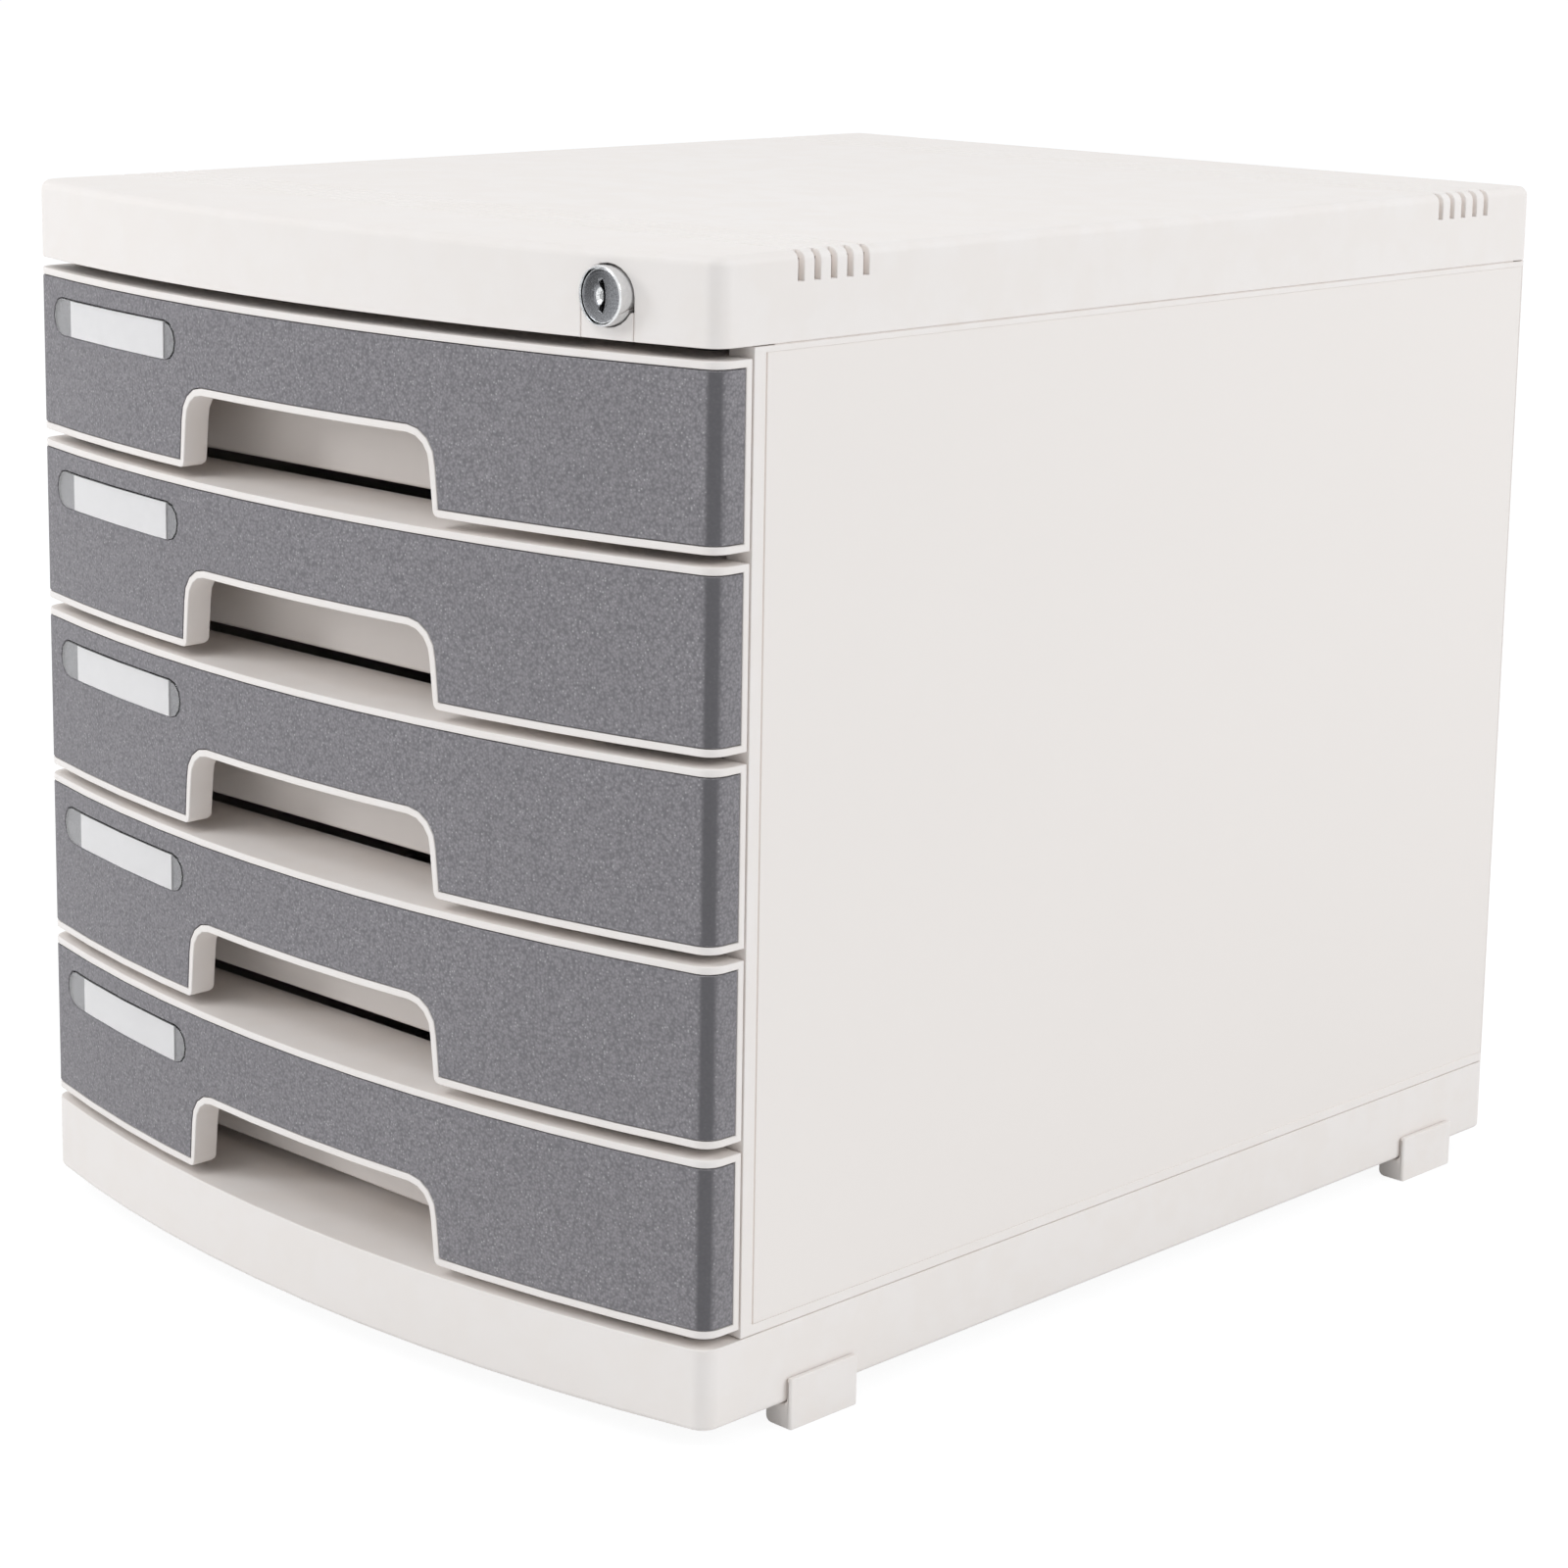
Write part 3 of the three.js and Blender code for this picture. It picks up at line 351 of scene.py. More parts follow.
def make_edge_rub() -> Effect:
    """Makes the mask of corners that hands and drawers rub, broken up by a noise.

    Returns:
        The group, with the mask.
    """
    flat_pointiness, reach = 0.5, 0.06
    patches, detail, low, high = 90.0, 3.0, 0.35, 0.65
    effect = Effect("edge_rub")
    shape = effect.add("NewGeometry")
    raised = effect.maths("SUBTRACT", shape.outputs["Pointiness"], flat_pointiness)
    corners = effect.maths("MINIMUM", effect.maths("DIVIDE", raised, reach), 1.0)
    shown = effect.maths("MAXIMUM", corners, 0.0)
    broken = effect.spread(effect.noise(patches, detail), low, high)
    effect.gives("Mask", "Float", effect.maths("MULTIPLY", shown, broken))
    return effect


def make_glint_specks() -> Effect:
    """Makes painted glints: scattered bright specks on a coarse grain, in cells picked at random rather
    than where light falls.

    Returns:
        The group, with the mask of the specks.
    """
    rim, heart = 0.42, 0.1
    effect = Effect("glint_specks")
    cells_per_metre = effect.takes("Cells", "Float", 1200.0)
    rarity = effect.takes("Rarity", "Float", 0.8)
    cells = effect.pattern("Voronoi", cells_per_metre, feature="F1")
    tint = effect.add("SeparateColor")
    effect.feed(tint.inputs["Color"], cells.outputs["Color"])
    chosen = effect.maths("GREATER_THAN", tint.outputs["Red"], rarity)
    dots = effect.spread(cells.outputs["Distance"], rim, heart)
    effect.gives("Mask", "Float", effect.maths("MULTIPLY", chosen, dots))
    return effect


def make_spun_lines() -> Effect:
    """Makes the rings that a lathe leaves round the lock's axis.

    Returns:
        The group, with the rings' height and the mask of the face inside a radius, which leaves
        out what lies between two depths.
    """
    across_axis, detail = (1.0, 0.0, 1.0), 2.0
    effect = Effect("spun_lines")
    centre = effect.takes("Centre", "Vector", (0.0, 0.0, 0.0))
    rings = effect.takes("Rings", "Float", 3000.0)
    reach = effect.takes("Reach", "Float", 0.0)
    floor = effect.takes("Floor", "Float", 0.0)
    pit = effect.takes("Pit", "Float", 1.0)
    offset = effect.add("VectorMath", operation="SUBTRACT")
    effect.feed(offset.inputs[0], effect.add("TexCoord").outputs["Object"])
    effect.feed(offset.inputs[1], centre)
    flat = effect.add("VectorMath", operation="MULTIPLY")
    effect.feed(flat.inputs[0], offset.outputs["Vector"])
    effect.feed(flat.inputs[1], across_axis)
    radius = effect.add("VectorMath", operation="LENGTH")
    effect.feed(radius.inputs[0], flat.outputs["Vector"])
    parts = effect.add("SeparateXYZ")
    effect.feed(parts.inputs["Vector"], offset.outputs["Vector"])
    inside = effect.maths("LESS_THAN", radius.outputs["Value"], reach)
    above = effect.maths("LESS_THAN", parts.outputs["Y"], floor)
    below = effect.maths("GREATER_THAN", parts.outputs["Y"], pit)
    disc = effect.maths("MULTIPLY", inside, effect.maths("MAXIMUM", above, below))
    lines = effect.add("TexNoise", noise_dimensions="1D")
    for name, source in (("W", radius.outputs["Value"]), ("Scale", rings), ("Detail", detail)):
        effect.feed(lines.inputs[name], source)
    effect.gives("Height", "Float", lines.outputs["Fac"])
    effect.gives("Disc", "Float", disc)
    return effect


def make_turned_corner() -> Effect:
    """Makes the mask of an upright rounded corner, from the way its surface faces.

    Returns:
        The group, with the mask.
    """
    start, risen, fallen, end = 0.3, 0.55, 0.85, 0.97
    tilted, upright = 0.5, 0.2
    effect = Effect("turned_corner")
    parts = effect.add("SeparateXYZ")
    effect.feed(parts.inputs["Vector"], effect.add("TexCoord").outputs["Normal"])
    sideways = effect.maths("ABSOLUTE", parts.outputs["X"])
    level = effect.maths("ABSOLUTE", parts.outputs["Z"])
    past_start = effect.spread(sideways, start, risen)
    before_end = effect.spread(sideways, end, fallen)
    band = effect.maths("MULTIPLY", past_start, before_end)
    standing = effect.spread(level, tilted, upright)
    effect.gives("Mask", "Float", effect.maths("MULTIPLY", band, standing))
    return effect


@dataclass(frozen=True)
class Effects:
    """The shader groups that the finishes share, each made once."""

    grain: Effect = field(default_factory=make_spark_grain)
    drift: Effect = field(default_factory=make_tone_drift)
    rub: Effect = field(default_factory=make_edge_rub)
    specks: Effect = field(default_factory=make_glint_specks)
    rings: Effect = field(default_factory=make_spun_lines)
    corner: Effect = field(default_factory=make_turned_corner)


# Finishes


class Recipe(Board):
    """A material while its nodes are being laid."""

    def __init__(self, name: str) -> None:
        """Starts a material with a bare Principled shader.

        Args:
            name: The material's name.
        """
        self.material = bpy.data.materials.new(name)
        self.material.use_nodes = True
        super().__init__(self.material.node_tree)
        self.shader = self.tree.nodes["Principled BSDF"]

    def effect(self, effect: Effect, **values: Source | Triple) -> bpy.types.NodeOutputs:
        """Places a shared effect with its own values.

        Args:
            effect: The group to place.
            **values: A value, or a socket that feeds it, for each named input.

        Returns:
            The outputs of the group's node.
        """
        node = self.add("Group", node_tree=effect.tree)
        for name, value in values.items():
            self.feed(node.inputs[name], value)
        return node.outputs

    def relief(self, height: Socket, depth: float, strength: float = 1.0) -> None:
        """Raises the surface by a height.

        Args:
            height: The height, of 0 to 1.
            depth: How many metres a height of 1 stands up.
            strength: How much of it shows.
        """
        node = self.add("Bump")
        for name, source in (("Strength", strength), ("Distance", depth), ("Height", height)):
            self.feed(node.inputs[name], source)
        self.drive("Normal", node.outputs["Normal"])

    def drive(self, name: str, source: Source | Triple) -> None:
        """Feeds one of the shader's sockets.

        Args:
            name: The socket's name.
            source: The socket that feeds it, or its plain value.
        """
        self.feed(self.shader.inputs[name], source)


@dataclass(frozen=True)
class MouldedPlastic:
    """Satin moulded plastic with a fine grain and slightly paler rubbed corners."""

    name: str
    colour: Colour
    rubbed: Colour
    satin: Span = (0.485, 0.492)
    cells: float = 1900.0
    grain_depth: float = 0.012 * MM
    drift: float = 0.003

    def make(self, effects: Effects) -> Material:
        """Lays the material's nodes.

        Args:
            effects: The shared shader groups.

        Returns:
            The material.
        """
        recipe = Recipe(self.name)
        drift = recipe.effect(effects.drift, Colour=self.colour, Amount=self.drift)
        rub = recipe.effect(effects.rub)
        grain = recipe.effect(effects.grain, Cells=self.cells)
        recipe.drive("Base Color", recipe.mix(rub["Mask"], drift["Colour"], self.rubbed))
        recipe.drive("Roughness", recipe.ranged(drift["Mask"], *self.satin))
        recipe.relief(grain["Height"], self.grain_depth)
        recipe.drive("IOR", PLASTIC_IOR)
        return recipe.material


@dataclass(frozen=True)
class LeatheredPlastic:
    """Grey plastic with a coarse leather-like grain, painted shade in the grain's hollows, faint painted
    glints, and smoother corners darkened by painted shade.
    """

    name: str = "leathered_grey"
    colour: Colour = (0.296, 0.277, 0.288)
    # Painted shade: the colour of the grain's hollows is darker than the moulding and stands in for the
    # shade that falls in them.
    painted_hollow_shade: Colour = (0.170, 0.159, 0.169)
    # Painted shade: the colour of the rounded upright corners is darker than the moulding and stands in
    # for the shade they turn into.
    painted_corner_shade: Colour = (0.092, 0.087, 0.094)
    # Painted highlight: the colour of the bright specks stands in for glints of light on the grain.
    painted_glint: Colour = (0.44, 0.42, 0.42)
    drift: float = 0.05
    cells: float = 1250.0
    softness: float = 0.45
    rarity: float = 0.86
    height_tones: Span = (-0.9, 1.7)
    corner_shade_shares: Span = (0.0, 0.9)
    satin: Span = (0.55, 0.4)
    grain_depth: float = 0.17 * MM
    grain_strength: float = 0.9

    def make(self, effects: Effects) -> Material:
        """Lays the material's nodes.

        Args:
            effects: The shared shader groups.

        Returns:
            The material.
        """
        recipe = Recipe(self.name)
        drift = recipe.effect(effects.drift, Colour=self.colour, Amount=self.drift)
        grain = recipe.effect(effects.grain, Cells=self.cells, Softness=self.softness)
        specks = recipe.effect(effects.specks, Cells=self.cells, Rarity=self.rarity)
        corner = recipe.effect(effects.corner)
        # Painted shade: the lower the grain, the closer its base colour comes to the darker hollow
        # colour.
        depth = recipe.ranged(grain["Height"], *self.height_tones)
        toned = recipe.mix(depth, self.painted_hollow_shade, drift["Colour"])
        # Painted glints: grain cells chosen at random get the brighter colour in place of real
        # highlights.
        with_painted_specks = recipe.mix(specks["Mask"], toned, self.painted_glint)
        # Painted shade: the rounded upright corners take the darker corner colour; only their lower
        # roughness is real.
        corner_shade_share = recipe.ranged(corner["Mask"], *self.corner_shade_shares)
        recipe.drive("Base Color", recipe.mix(corner_shade_share, with_painted_specks, self.painted_corner_shade))
        recipe.drive("Roughness", recipe.ranged(corner["Mask"], *self.satin))
        recipe.relief(grain["Height"], self.grain_depth, self.grain_strength)
        recipe.drive("IOR", PLASTIC_IOR)
        return recipe.material


@dataclass(frozen=True)
class ClearPlastic:
    """The clear moulding over a label card, which casts no shadow on it."""

    name: str = "clear_lens"
    colour: Colour = (0.97, 0.975, 0.98)
    drift: float = 0.01
    waves: float = 60.0
    gloss: Span = (0.03, 0.09)
    ior: float = 1.49

    def make(self, effects: Effects) -> Material:
        """Lays the material's nodes.

        Args:
            effects: The shared shader groups.

        Returns:
            The material.
        """
        recipe = Recipe(self.name)
        drift = recipe.effect(effects.drift, Colour=self.colour, Amount=self.drift, Waves=self.waves)
        recipe.drive("Base Color", drift["Colour"])
        recipe.drive("Roughness", recipe.ranged(drift["Mask"], *self.gloss))
        recipe.drive("IOR", self.ior)
        recipe.drive("Transmission Weight", 1.0)
        path = recipe.add("LightPath").outputs
        recipe.show_mix(path["Is Shadow Ray"], recipe.shader, recipe.add("BsdfTransparent"))
        return recipe.material


@dataclass(frozen=True)
class CardStock:
    """Bare white card with a faint fibre."""

    name: str = "label_card"
    colour: Colour = (0.93, 0.885, 0.865)
    drift: float = 0.03
    waves: float = 320.0
    cells: float = 4200.0
    softness: float = 0.9
    matt: Span = (0.7, 0.9)
    grain_depth: float = 0.01 * MM
    grain_strength: float = 0.6

    def make(self, effects: Effects) -> Material:
        """Lays the material's nodes.

        Args:
            effects: The shared shader groups.

        Returns:
            The material.
        """
        recipe = Recipe(self.name)
        drift = recipe.effect(effects.drift, Colour=self.colour, Amount=self.drift, Waves=self.waves)
        grain = recipe.effect(effects.grain, Cells=self.cells, Softness=self.softness)
        recipe.drive("Base Color", drift["Colour"])
        recipe.drive("Roughness", recipe.ranged(grain["Height"], *self.matt))
        recipe.relief(grain["Height"], self.grain_depth, self.grain_strength)
        return recipe.material


@dataclass(frozen=True)
class TurnedMetal:
    """Plated metal with the fine rings of the lathe round the lock's axis, and a duller core."""

    name: str
    gloss: Span
    centre: Triple
    colour: Colour = (0.80, 0.81, 0.82)
    core: Colour = (0.27, 0.275, 0.29)
    core_radius: float = 0.0
    core_floor: float = 0.0
    core_pit: float = 0.0
    mottling: float = 0.08
    mottles: float = 900.0
    rings: float = 2200.0
    ring_depth: float = 0.006 * MM

    def make(self, effects: Effects) -> Material:
        """Lays the material's nodes.

        Args:
            effects: The shared shader groups.

        Returns:
            The material.
        """
        recipe = Recipe(self.name)
        rings = recipe.effect(
            effects.rings,
            Centre=self.centre,
            Rings=self.rings,
            Reach=self.core_radius,
            Floor=self.core_floor,
            Pit=self.core_pit,
        )
        tone = recipe.mix(rings["Disc"], self.colour, self.core)
        drift = recipe.effect(effects.drift, Colour=tone, Amount=self.mottling, Waves=self.mottles)
        recipe.drive("Base Color", drift["Colour"])
        recipe.drive("Roughness", recipe.ranged(rings["Height"], *self.gloss))
        recipe.relief(rings["Height"], self.ring_depth)
        recipe.drive("Metallic", 1.0)
        return recipe.material


@dataclass(frozen=True)
class ZincSteel:
    """Pressed steel with a zinc coat and its faint mottling."""

    name: str = "zinc_steel"
    colour: Colour = (0.52, 0.53, 0.54)
    mottling: float = 0.3
    mottles: float = 260.0
    cells: float = 900.0
    softness: float = 0.8
    gloss: Span = (0.28, 0.46)
    grain_depth: float = 0.01 * MM
    grain_strength: float = 0.7

    def make(self, effects: Effects) -> Material:
        """Lays the material's nodes.

        Args:
            effects: The shared shader groups.

        Returns:
            The material.
        """
        recipe = Recipe(self.name)
        mottling = {"Amount": self.mottling, "Waves": self.mottles}
        drift = recipe.effect(effects.drift, Colour=self.colour, **mottling)
        grain = recipe.effect(effects.grain, Cells=self.cells, Softness=self.softness)
        recipe.drive("Base Color", drift["Colour"])
        recipe.drive("Roughness", recipe.ranged(drift["Mask"], *self.gloss))
        recipe.relief(grain["Height"], self.grain_depth, self.grain_strength)
        recipe.drive("Metallic", 1.0)
        return recipe.material


# Forms and pieces


@dataclass(frozen=True)
class CornerBreak:
    """How far corners are rounded off, and in how many steps."""

    radius: float
    segments: int = 2


@dataclass(frozen=True)
class Role:
    """A piece's finish, the body that carries it and its slot in the record."""

    material: Material
    body: str
    slot: Slot


def merged_form(node: str) -> Form:
    """Copies a node's triangles, joins them and dissolves what is flat.

    Args:
        node: The node's name.

    Returns:
        The form.
    """
    form = bmesh.new()
    form.from_mesh(bpy.data.objects[node].data)
    bmesh.ops.remove_doubles(form, verts=form.verts, dist=MERGE_DISTANCE)
    bmesh.ops.dissolve_limit(form, angle_limit=FLAT_ANGLE, verts=form.verts, edges=form.edges)
    return form


def mark_corners(form: Form) -> None:
    """Weights the outer corners of a form for rounding and leaves its inner corners sharp.

    Args:
        form: The form.
    """
    weights = form.edges.layers.float
    layer = weights.get(CORNER_WEIGHT) or weights.new(CORNER_WEIGHT)
    form.normal_update()
    for edge in form.edges:
        turn = edge.calc_face_angle_signed(0.0)
        edge[layer] = float(turn > CORNER_ANGLE)
        edge.smooth = turn > -CORNER_ANGLE


def object_from(form: Form, name: str) -> Piece:
    """Turns a form into an object at the origin.

    Args:
        form: The form, which is freed.
        name: The object's name.

    Returns:
        The object.
    """
    mesh = bpy.data.meshes.new(name)
    form.to_mesh(mesh)
    form.free()
    piece = bpy.data.objects.new(name, mesh)
    bpy.context.scene.collection.objects.link(piece)
    return piece


def piece_from(form: Form, name: str) -> Piece:
    """Turns a form into a piece with smooth faces and marked corners.

    Args:
        form: The form, which is freed.
        name: The piece's name.

    Returns:
        The piece.
    """
    mark_corners(form)
    for face in form.faces:
        face.smooth = True
    return object_from(form, name)


def settle(piece: Piece, role: Role, node: str) -> None:
    """Dresses a piece, ties it to its body and lets it stand for its node.

    Args:
        piece: The piece.
        role: Its finish, body and slot.
        node: The node that it stands for.
    """
    piece.data.materials.clear()
    piece.data.materials.append(role.material)
    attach(piece, role.body)
    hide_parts(node)
    LOG.info("%s on %s, %d faces", piece.name, role.body, len(piece.data.polygons))


def finish_piece(form: Form, node: str, corners: CornerBreak, role: Role, name: str = "") -> None:
    """Makes a piece with rounded outer corners from a form.

    Args:
        form: The form, which is freed.
        node: The node that the piece stands for.
        corners: How its corners are rounded.
        role: Its finish, body and slot.
        name: Its name, where that isn't made from the node's.
    """
    piece = piece_from(form, name or f"{node}_moulding")
    bevel = piece.modifiers.new("broken_corners", "BEVEL")
    bevel.width = corners.radius
    bevel.segments = corners.segments
    bevel.limit_method = "WEIGHT"
    bevel.use_clamp_overlap = False
    bevel.miter_outer = "MITER_SHARP"
    piece.modifiers.new("even_faces", "WEIGHTED_NORMAL").keep_sharp = True
    settle(piece, role, node)


def dress_node(node: str, material: Material) -> None:
    """Gives a node that stays as it is its finish.

    Args:
        node: The node's name.
        material: The finish.
    """
    mesh = bpy.data.objects[node].data
    mesh.materials.clear()
    mesh.materials.append(material)
    LOG.info("%s keeps its own mesh", node)


def carved(first: Form, second: Form, way: Carve) -> Form:
    """Works one closed form on another.

    Args:
        first: The form that is worked on, which is freed.
        second: The form that works on it, which is freed.
        way: What it does.

    Returns:
        The new form.
    """
    target = piece_from(first, "carve_target")
    tool = piece_from(second, "carve_tool")
    boolean = target.modifiers.new("carve", "BOOLEAN")
    boolean.operation = way.value
    boolean.solver = "EXACT"
    boolean.object = tool
    ready = target.evaluated_get(bpy.context.evaluated_depsgraph_get())
    form = bmesh.new()
    form.from_mesh(ready.to_mesh())
    ready.to_mesh_clear()
    for helper in (target, tool):
        mesh = helper.data
        bpy.data.objects.remove(helper)
        bpy.data.meshes.remove(mesh)
    return form


def turned_form(profile: list[Span], centre: Vector, steps: int) -> Form:
    """Turns a closed profile about a line along Y.

    Args:
        profile: Points of (radius, y), which close on themselves or end on the axis.
        centre: A point on the line.
        steps: How many steps a full turn has.

    Returns:
        The form.
    """
    form = bmesh.new()
    points = [form.verts.new((centre.x + r, y, centre.z)) for r, y in profile]
    rim = [form.edges.new(pair) for pair in zip(points, points[1:])]
    if min(r for r, _ in profile) > 0:
        rim.append(form.edges.new((points[-1], points[0])))
    bmesh.ops.spin(
        form,
        geom=[*points, *rim],
        cent=centre,
        axis=ALONG_Y,
        angle=math.tau,
        steps=steps,
        use_merge=True,
    )
    bmesh.ops.remove_doubles(form, verts=form.verts, dist=MERGE_DISTANCE)
    bmesh.ops.recalc_face_normals(form, faces=form.faces)
    return form


def block_form(low: Iterable[float], high: Iterable[float]) -> Form:
    """Makes a plain block.

    Args:
        low: Its lowest corner.
        high: Its highest corner.

    Returns:
        The block.
    """
    near, far = Vector(low), Vector(high)
    form = bmesh.new()
    bmesh.ops.create_cube(form, size=1.0)
    bmesh.ops.scale(form, vec=far - near, verts=form.verts)
    bmesh.ops.translate(form, vec=(near + far) / 2, verts=form.verts)
    return form


def sheet_form(width: float, depth: float) -> Form:
    """Makes a flat rectangle about the origin.

    Args:
        width: Its size along X.
        depth: Its size along Y.

    Returns:
        The rectangle.
    """
    form = bmesh.new()
    bmesh.ops.create_grid(form, x_segments=1, y_segments=1, size=0.5)
    bmesh.ops.scale(form, vec=(width, depth, 1.0), verts=form.verts)
    return form


def round_edges(form: Form, edges: list[bmesh.types.BMEdge], corners: CornerBreak) -> None:
    """Rounds off some edges of a form.

    Args:
        form: The form.
        edges: The edges.
        corners: How they are rounded.
    """
    bmesh.ops.bevel(
        form,
        geom=edges,
        offset=corners.radius,
        segments=corners.segments,
        profile=ROUND_PROFILE,
        affect="EDGES",
    )


def ring_edges(form: Form, centre: Vector, radius: float, plane_y: float) -> list[bmesh.types.BMEdge]:
    """Finds one ring of edges of a turned form.

    Args:
        form: The form.
        centre: A point on its axis.
        radius: The ring's radius.
        plane_y: Where the ring lies along the axis.

    Returns:
        The ring's edges.
    """
    ring = []
    for edge in form.edges:
        offsets = [vert.co - centre for vert in edge.verts]
        strays = [abs(math.hypot(offset.x, offset.z) - radius) for offset in offsets]
        strays += [abs(vert.co.y - plane_y) for vert in edge.verts]
        if max(strays) < MERGE_DISTANCE:
            ring.append(edge)
    return ring


def front_rim(form: Form) -> list[bmesh.types.BMEdge]:
    """Finds the edges round a form's front.

    Args:
        form: The form.

    Returns:
        The edges between a face that looks forwards and one that does not.
    """
    rim = []
    for edge in form.edges:
        turns = sorted(face.normal.y for face in edge.link_faces)
        if len(turns) == 2 and turns[0] < -FORWARD_FACING and abs(turns[1]) < SIDEWAYS_FACING:
            rim.append(edge)
    return rim


@dataclass
class Shell:
    """The cabinet's still mouldings: base, side and back panels, cover, feet and lock carrier."""

    role: Role
    corners: CornerBreak = CornerBreak(0.3 * MM)
    panel_corners: CornerBreak = CornerBreak(0.22 * MM)
    foot_corners: CornerBreak = CornerBreak(0.32 * MM, 3)
    vent_depth: float = 2.5 * MM
    vent_height: float = 8.1 * MM
    liner_thickness: float = 2.4 * MM
    liner_front_inset: float = 40 * MM
    liner_rear_inset: float = 20 * MM
    seam_gap: float = 0.3 * MM
    seam_depth: float = 0.45 * MM
    seam_lap: float = 1.2 * MM
    seam_end_inset: float = 8 * MM
    plain: tuple[str, ...] = ("base", "back_panel", "lock_plate")

    def build(self) -> None:
        """Builds every moulding."""
        self.build_cover()
        for node in self.plain:
            finish_piece(merged_form(node), node, self.corners, self.role)
        for side in Side:
            self.build_side_panel(f"{side.value}_side_panel", side)
            for end in ("front", "rear"):
                foot = f"{end}_{side.value}_foot"
                finish_piece(merged_form(foot), foot, self.foot_corners, self.role)

    def build_cover(self) -> None:
        """Builds the cover, whose vent slots are shallow pockets with a floor."""
        node = "top_cover"
        low, high = (Vector(corner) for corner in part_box(node))
        form = merged_form(node)
        outer = high.x - self.vent_depth
        inner = outer - self.liner_thickness
        top = high.z - self.vent_depth
        ys = (low.y + self.liner_front_inset, high.y - self.liner_rear_inset)
        for xs in ((-outer, -inner), (inner, outer)):
            liner = block_form(*zip(xs, ys, (top - self.vent_height, top)))
            form = carved(form, liner, Carve.WELD)
        finish_piece(form, node, self.corners, self.role)

    def build_side_panel(self, node: str, side: Side) -> None:
        """Builds a side panel, with the rebates that close its seams behind the surface.

        Args:
            node: The panel's node.
            side: The side that it stands on.
        """
        low, high = (Vector(corner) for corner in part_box(node))
        form = merged_form(node)
        face_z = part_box("top_cover")[0][2] - self.seam_gap
        foot_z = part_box("base")[1][2] + self.seam_gap
        outer = max(abs(low.x), abs(high.x)) - self.seam_depth
        inner = outer - self.seam_lap
        xs = (inner, outer) if side is Side.RIGHT else (-outer, -inner)
        ys = (low.y + self.seam_end_inset, high.y - self.seam_end_inset)
        reach = self.seam_gap - 2 * MERGE_DISTANCE
        for zs in ((face_z - self.seam_lap, face_z + reach), (foot_z - reach, foot_z + self.seam_lap)):
            form = carved(form, block_form(*zip(xs, ys, zs)), Carve.WELD)
        finish_piece(form, node, self.panel_corners, self.role)


@dataclass
class FileDrawer:
    """One drawer: the tray and its front in one moulding, the grey insert, the lens and the card."""

    number: int
    shell: Material
    leather: Material
    clear: Material
    card: Material
    corners: CornerBreak = CornerBreak(0.35 * MM)
    insert_corners: CornerBreak = CornerBreak(0.3 * MM)
    lens_corners: CornerBreak = CornerBreak(0.55 * MM, 4)

    @property
    def body(self) -> str:
        """Names the body that carries the drawer."""
        return f"drawer_{self.number}"

    def build(self) -> None:
        """Builds the drawer's pieces."""
        tray, insert = f"{self.body}_tray", f"{self.body}_panel"
        finish_piece(merged_form(tray), tray, self.corners, Role(self.shell, self.body, Slot.SHELL))
        role = Role(self.leather, self.body, Slot.PANEL)
        finish_piece(merged_form(insert), insert, self.insert_corners, role)
        self.build_lens()
        dress_node(f"{self.body}_label_card", self.card)

    def build_lens(self) -> None:
        """Builds the lens, whose front rim is rounded and whose back stays sharp."""
        node = f"{self.body}_label_lens"
        form = merged_form(node)
        form.normal_update()
        round_edges(form, front_rim(form), self.lens_corners)
        piece = piece_from(form, f"{node}_moulding")
        piece.modifiers.new("even_faces", "WEIGHTED_NORMAL").keep_sharp = False
        settle(piece, Role(self.clear, self.body, Slot.LENS), node)


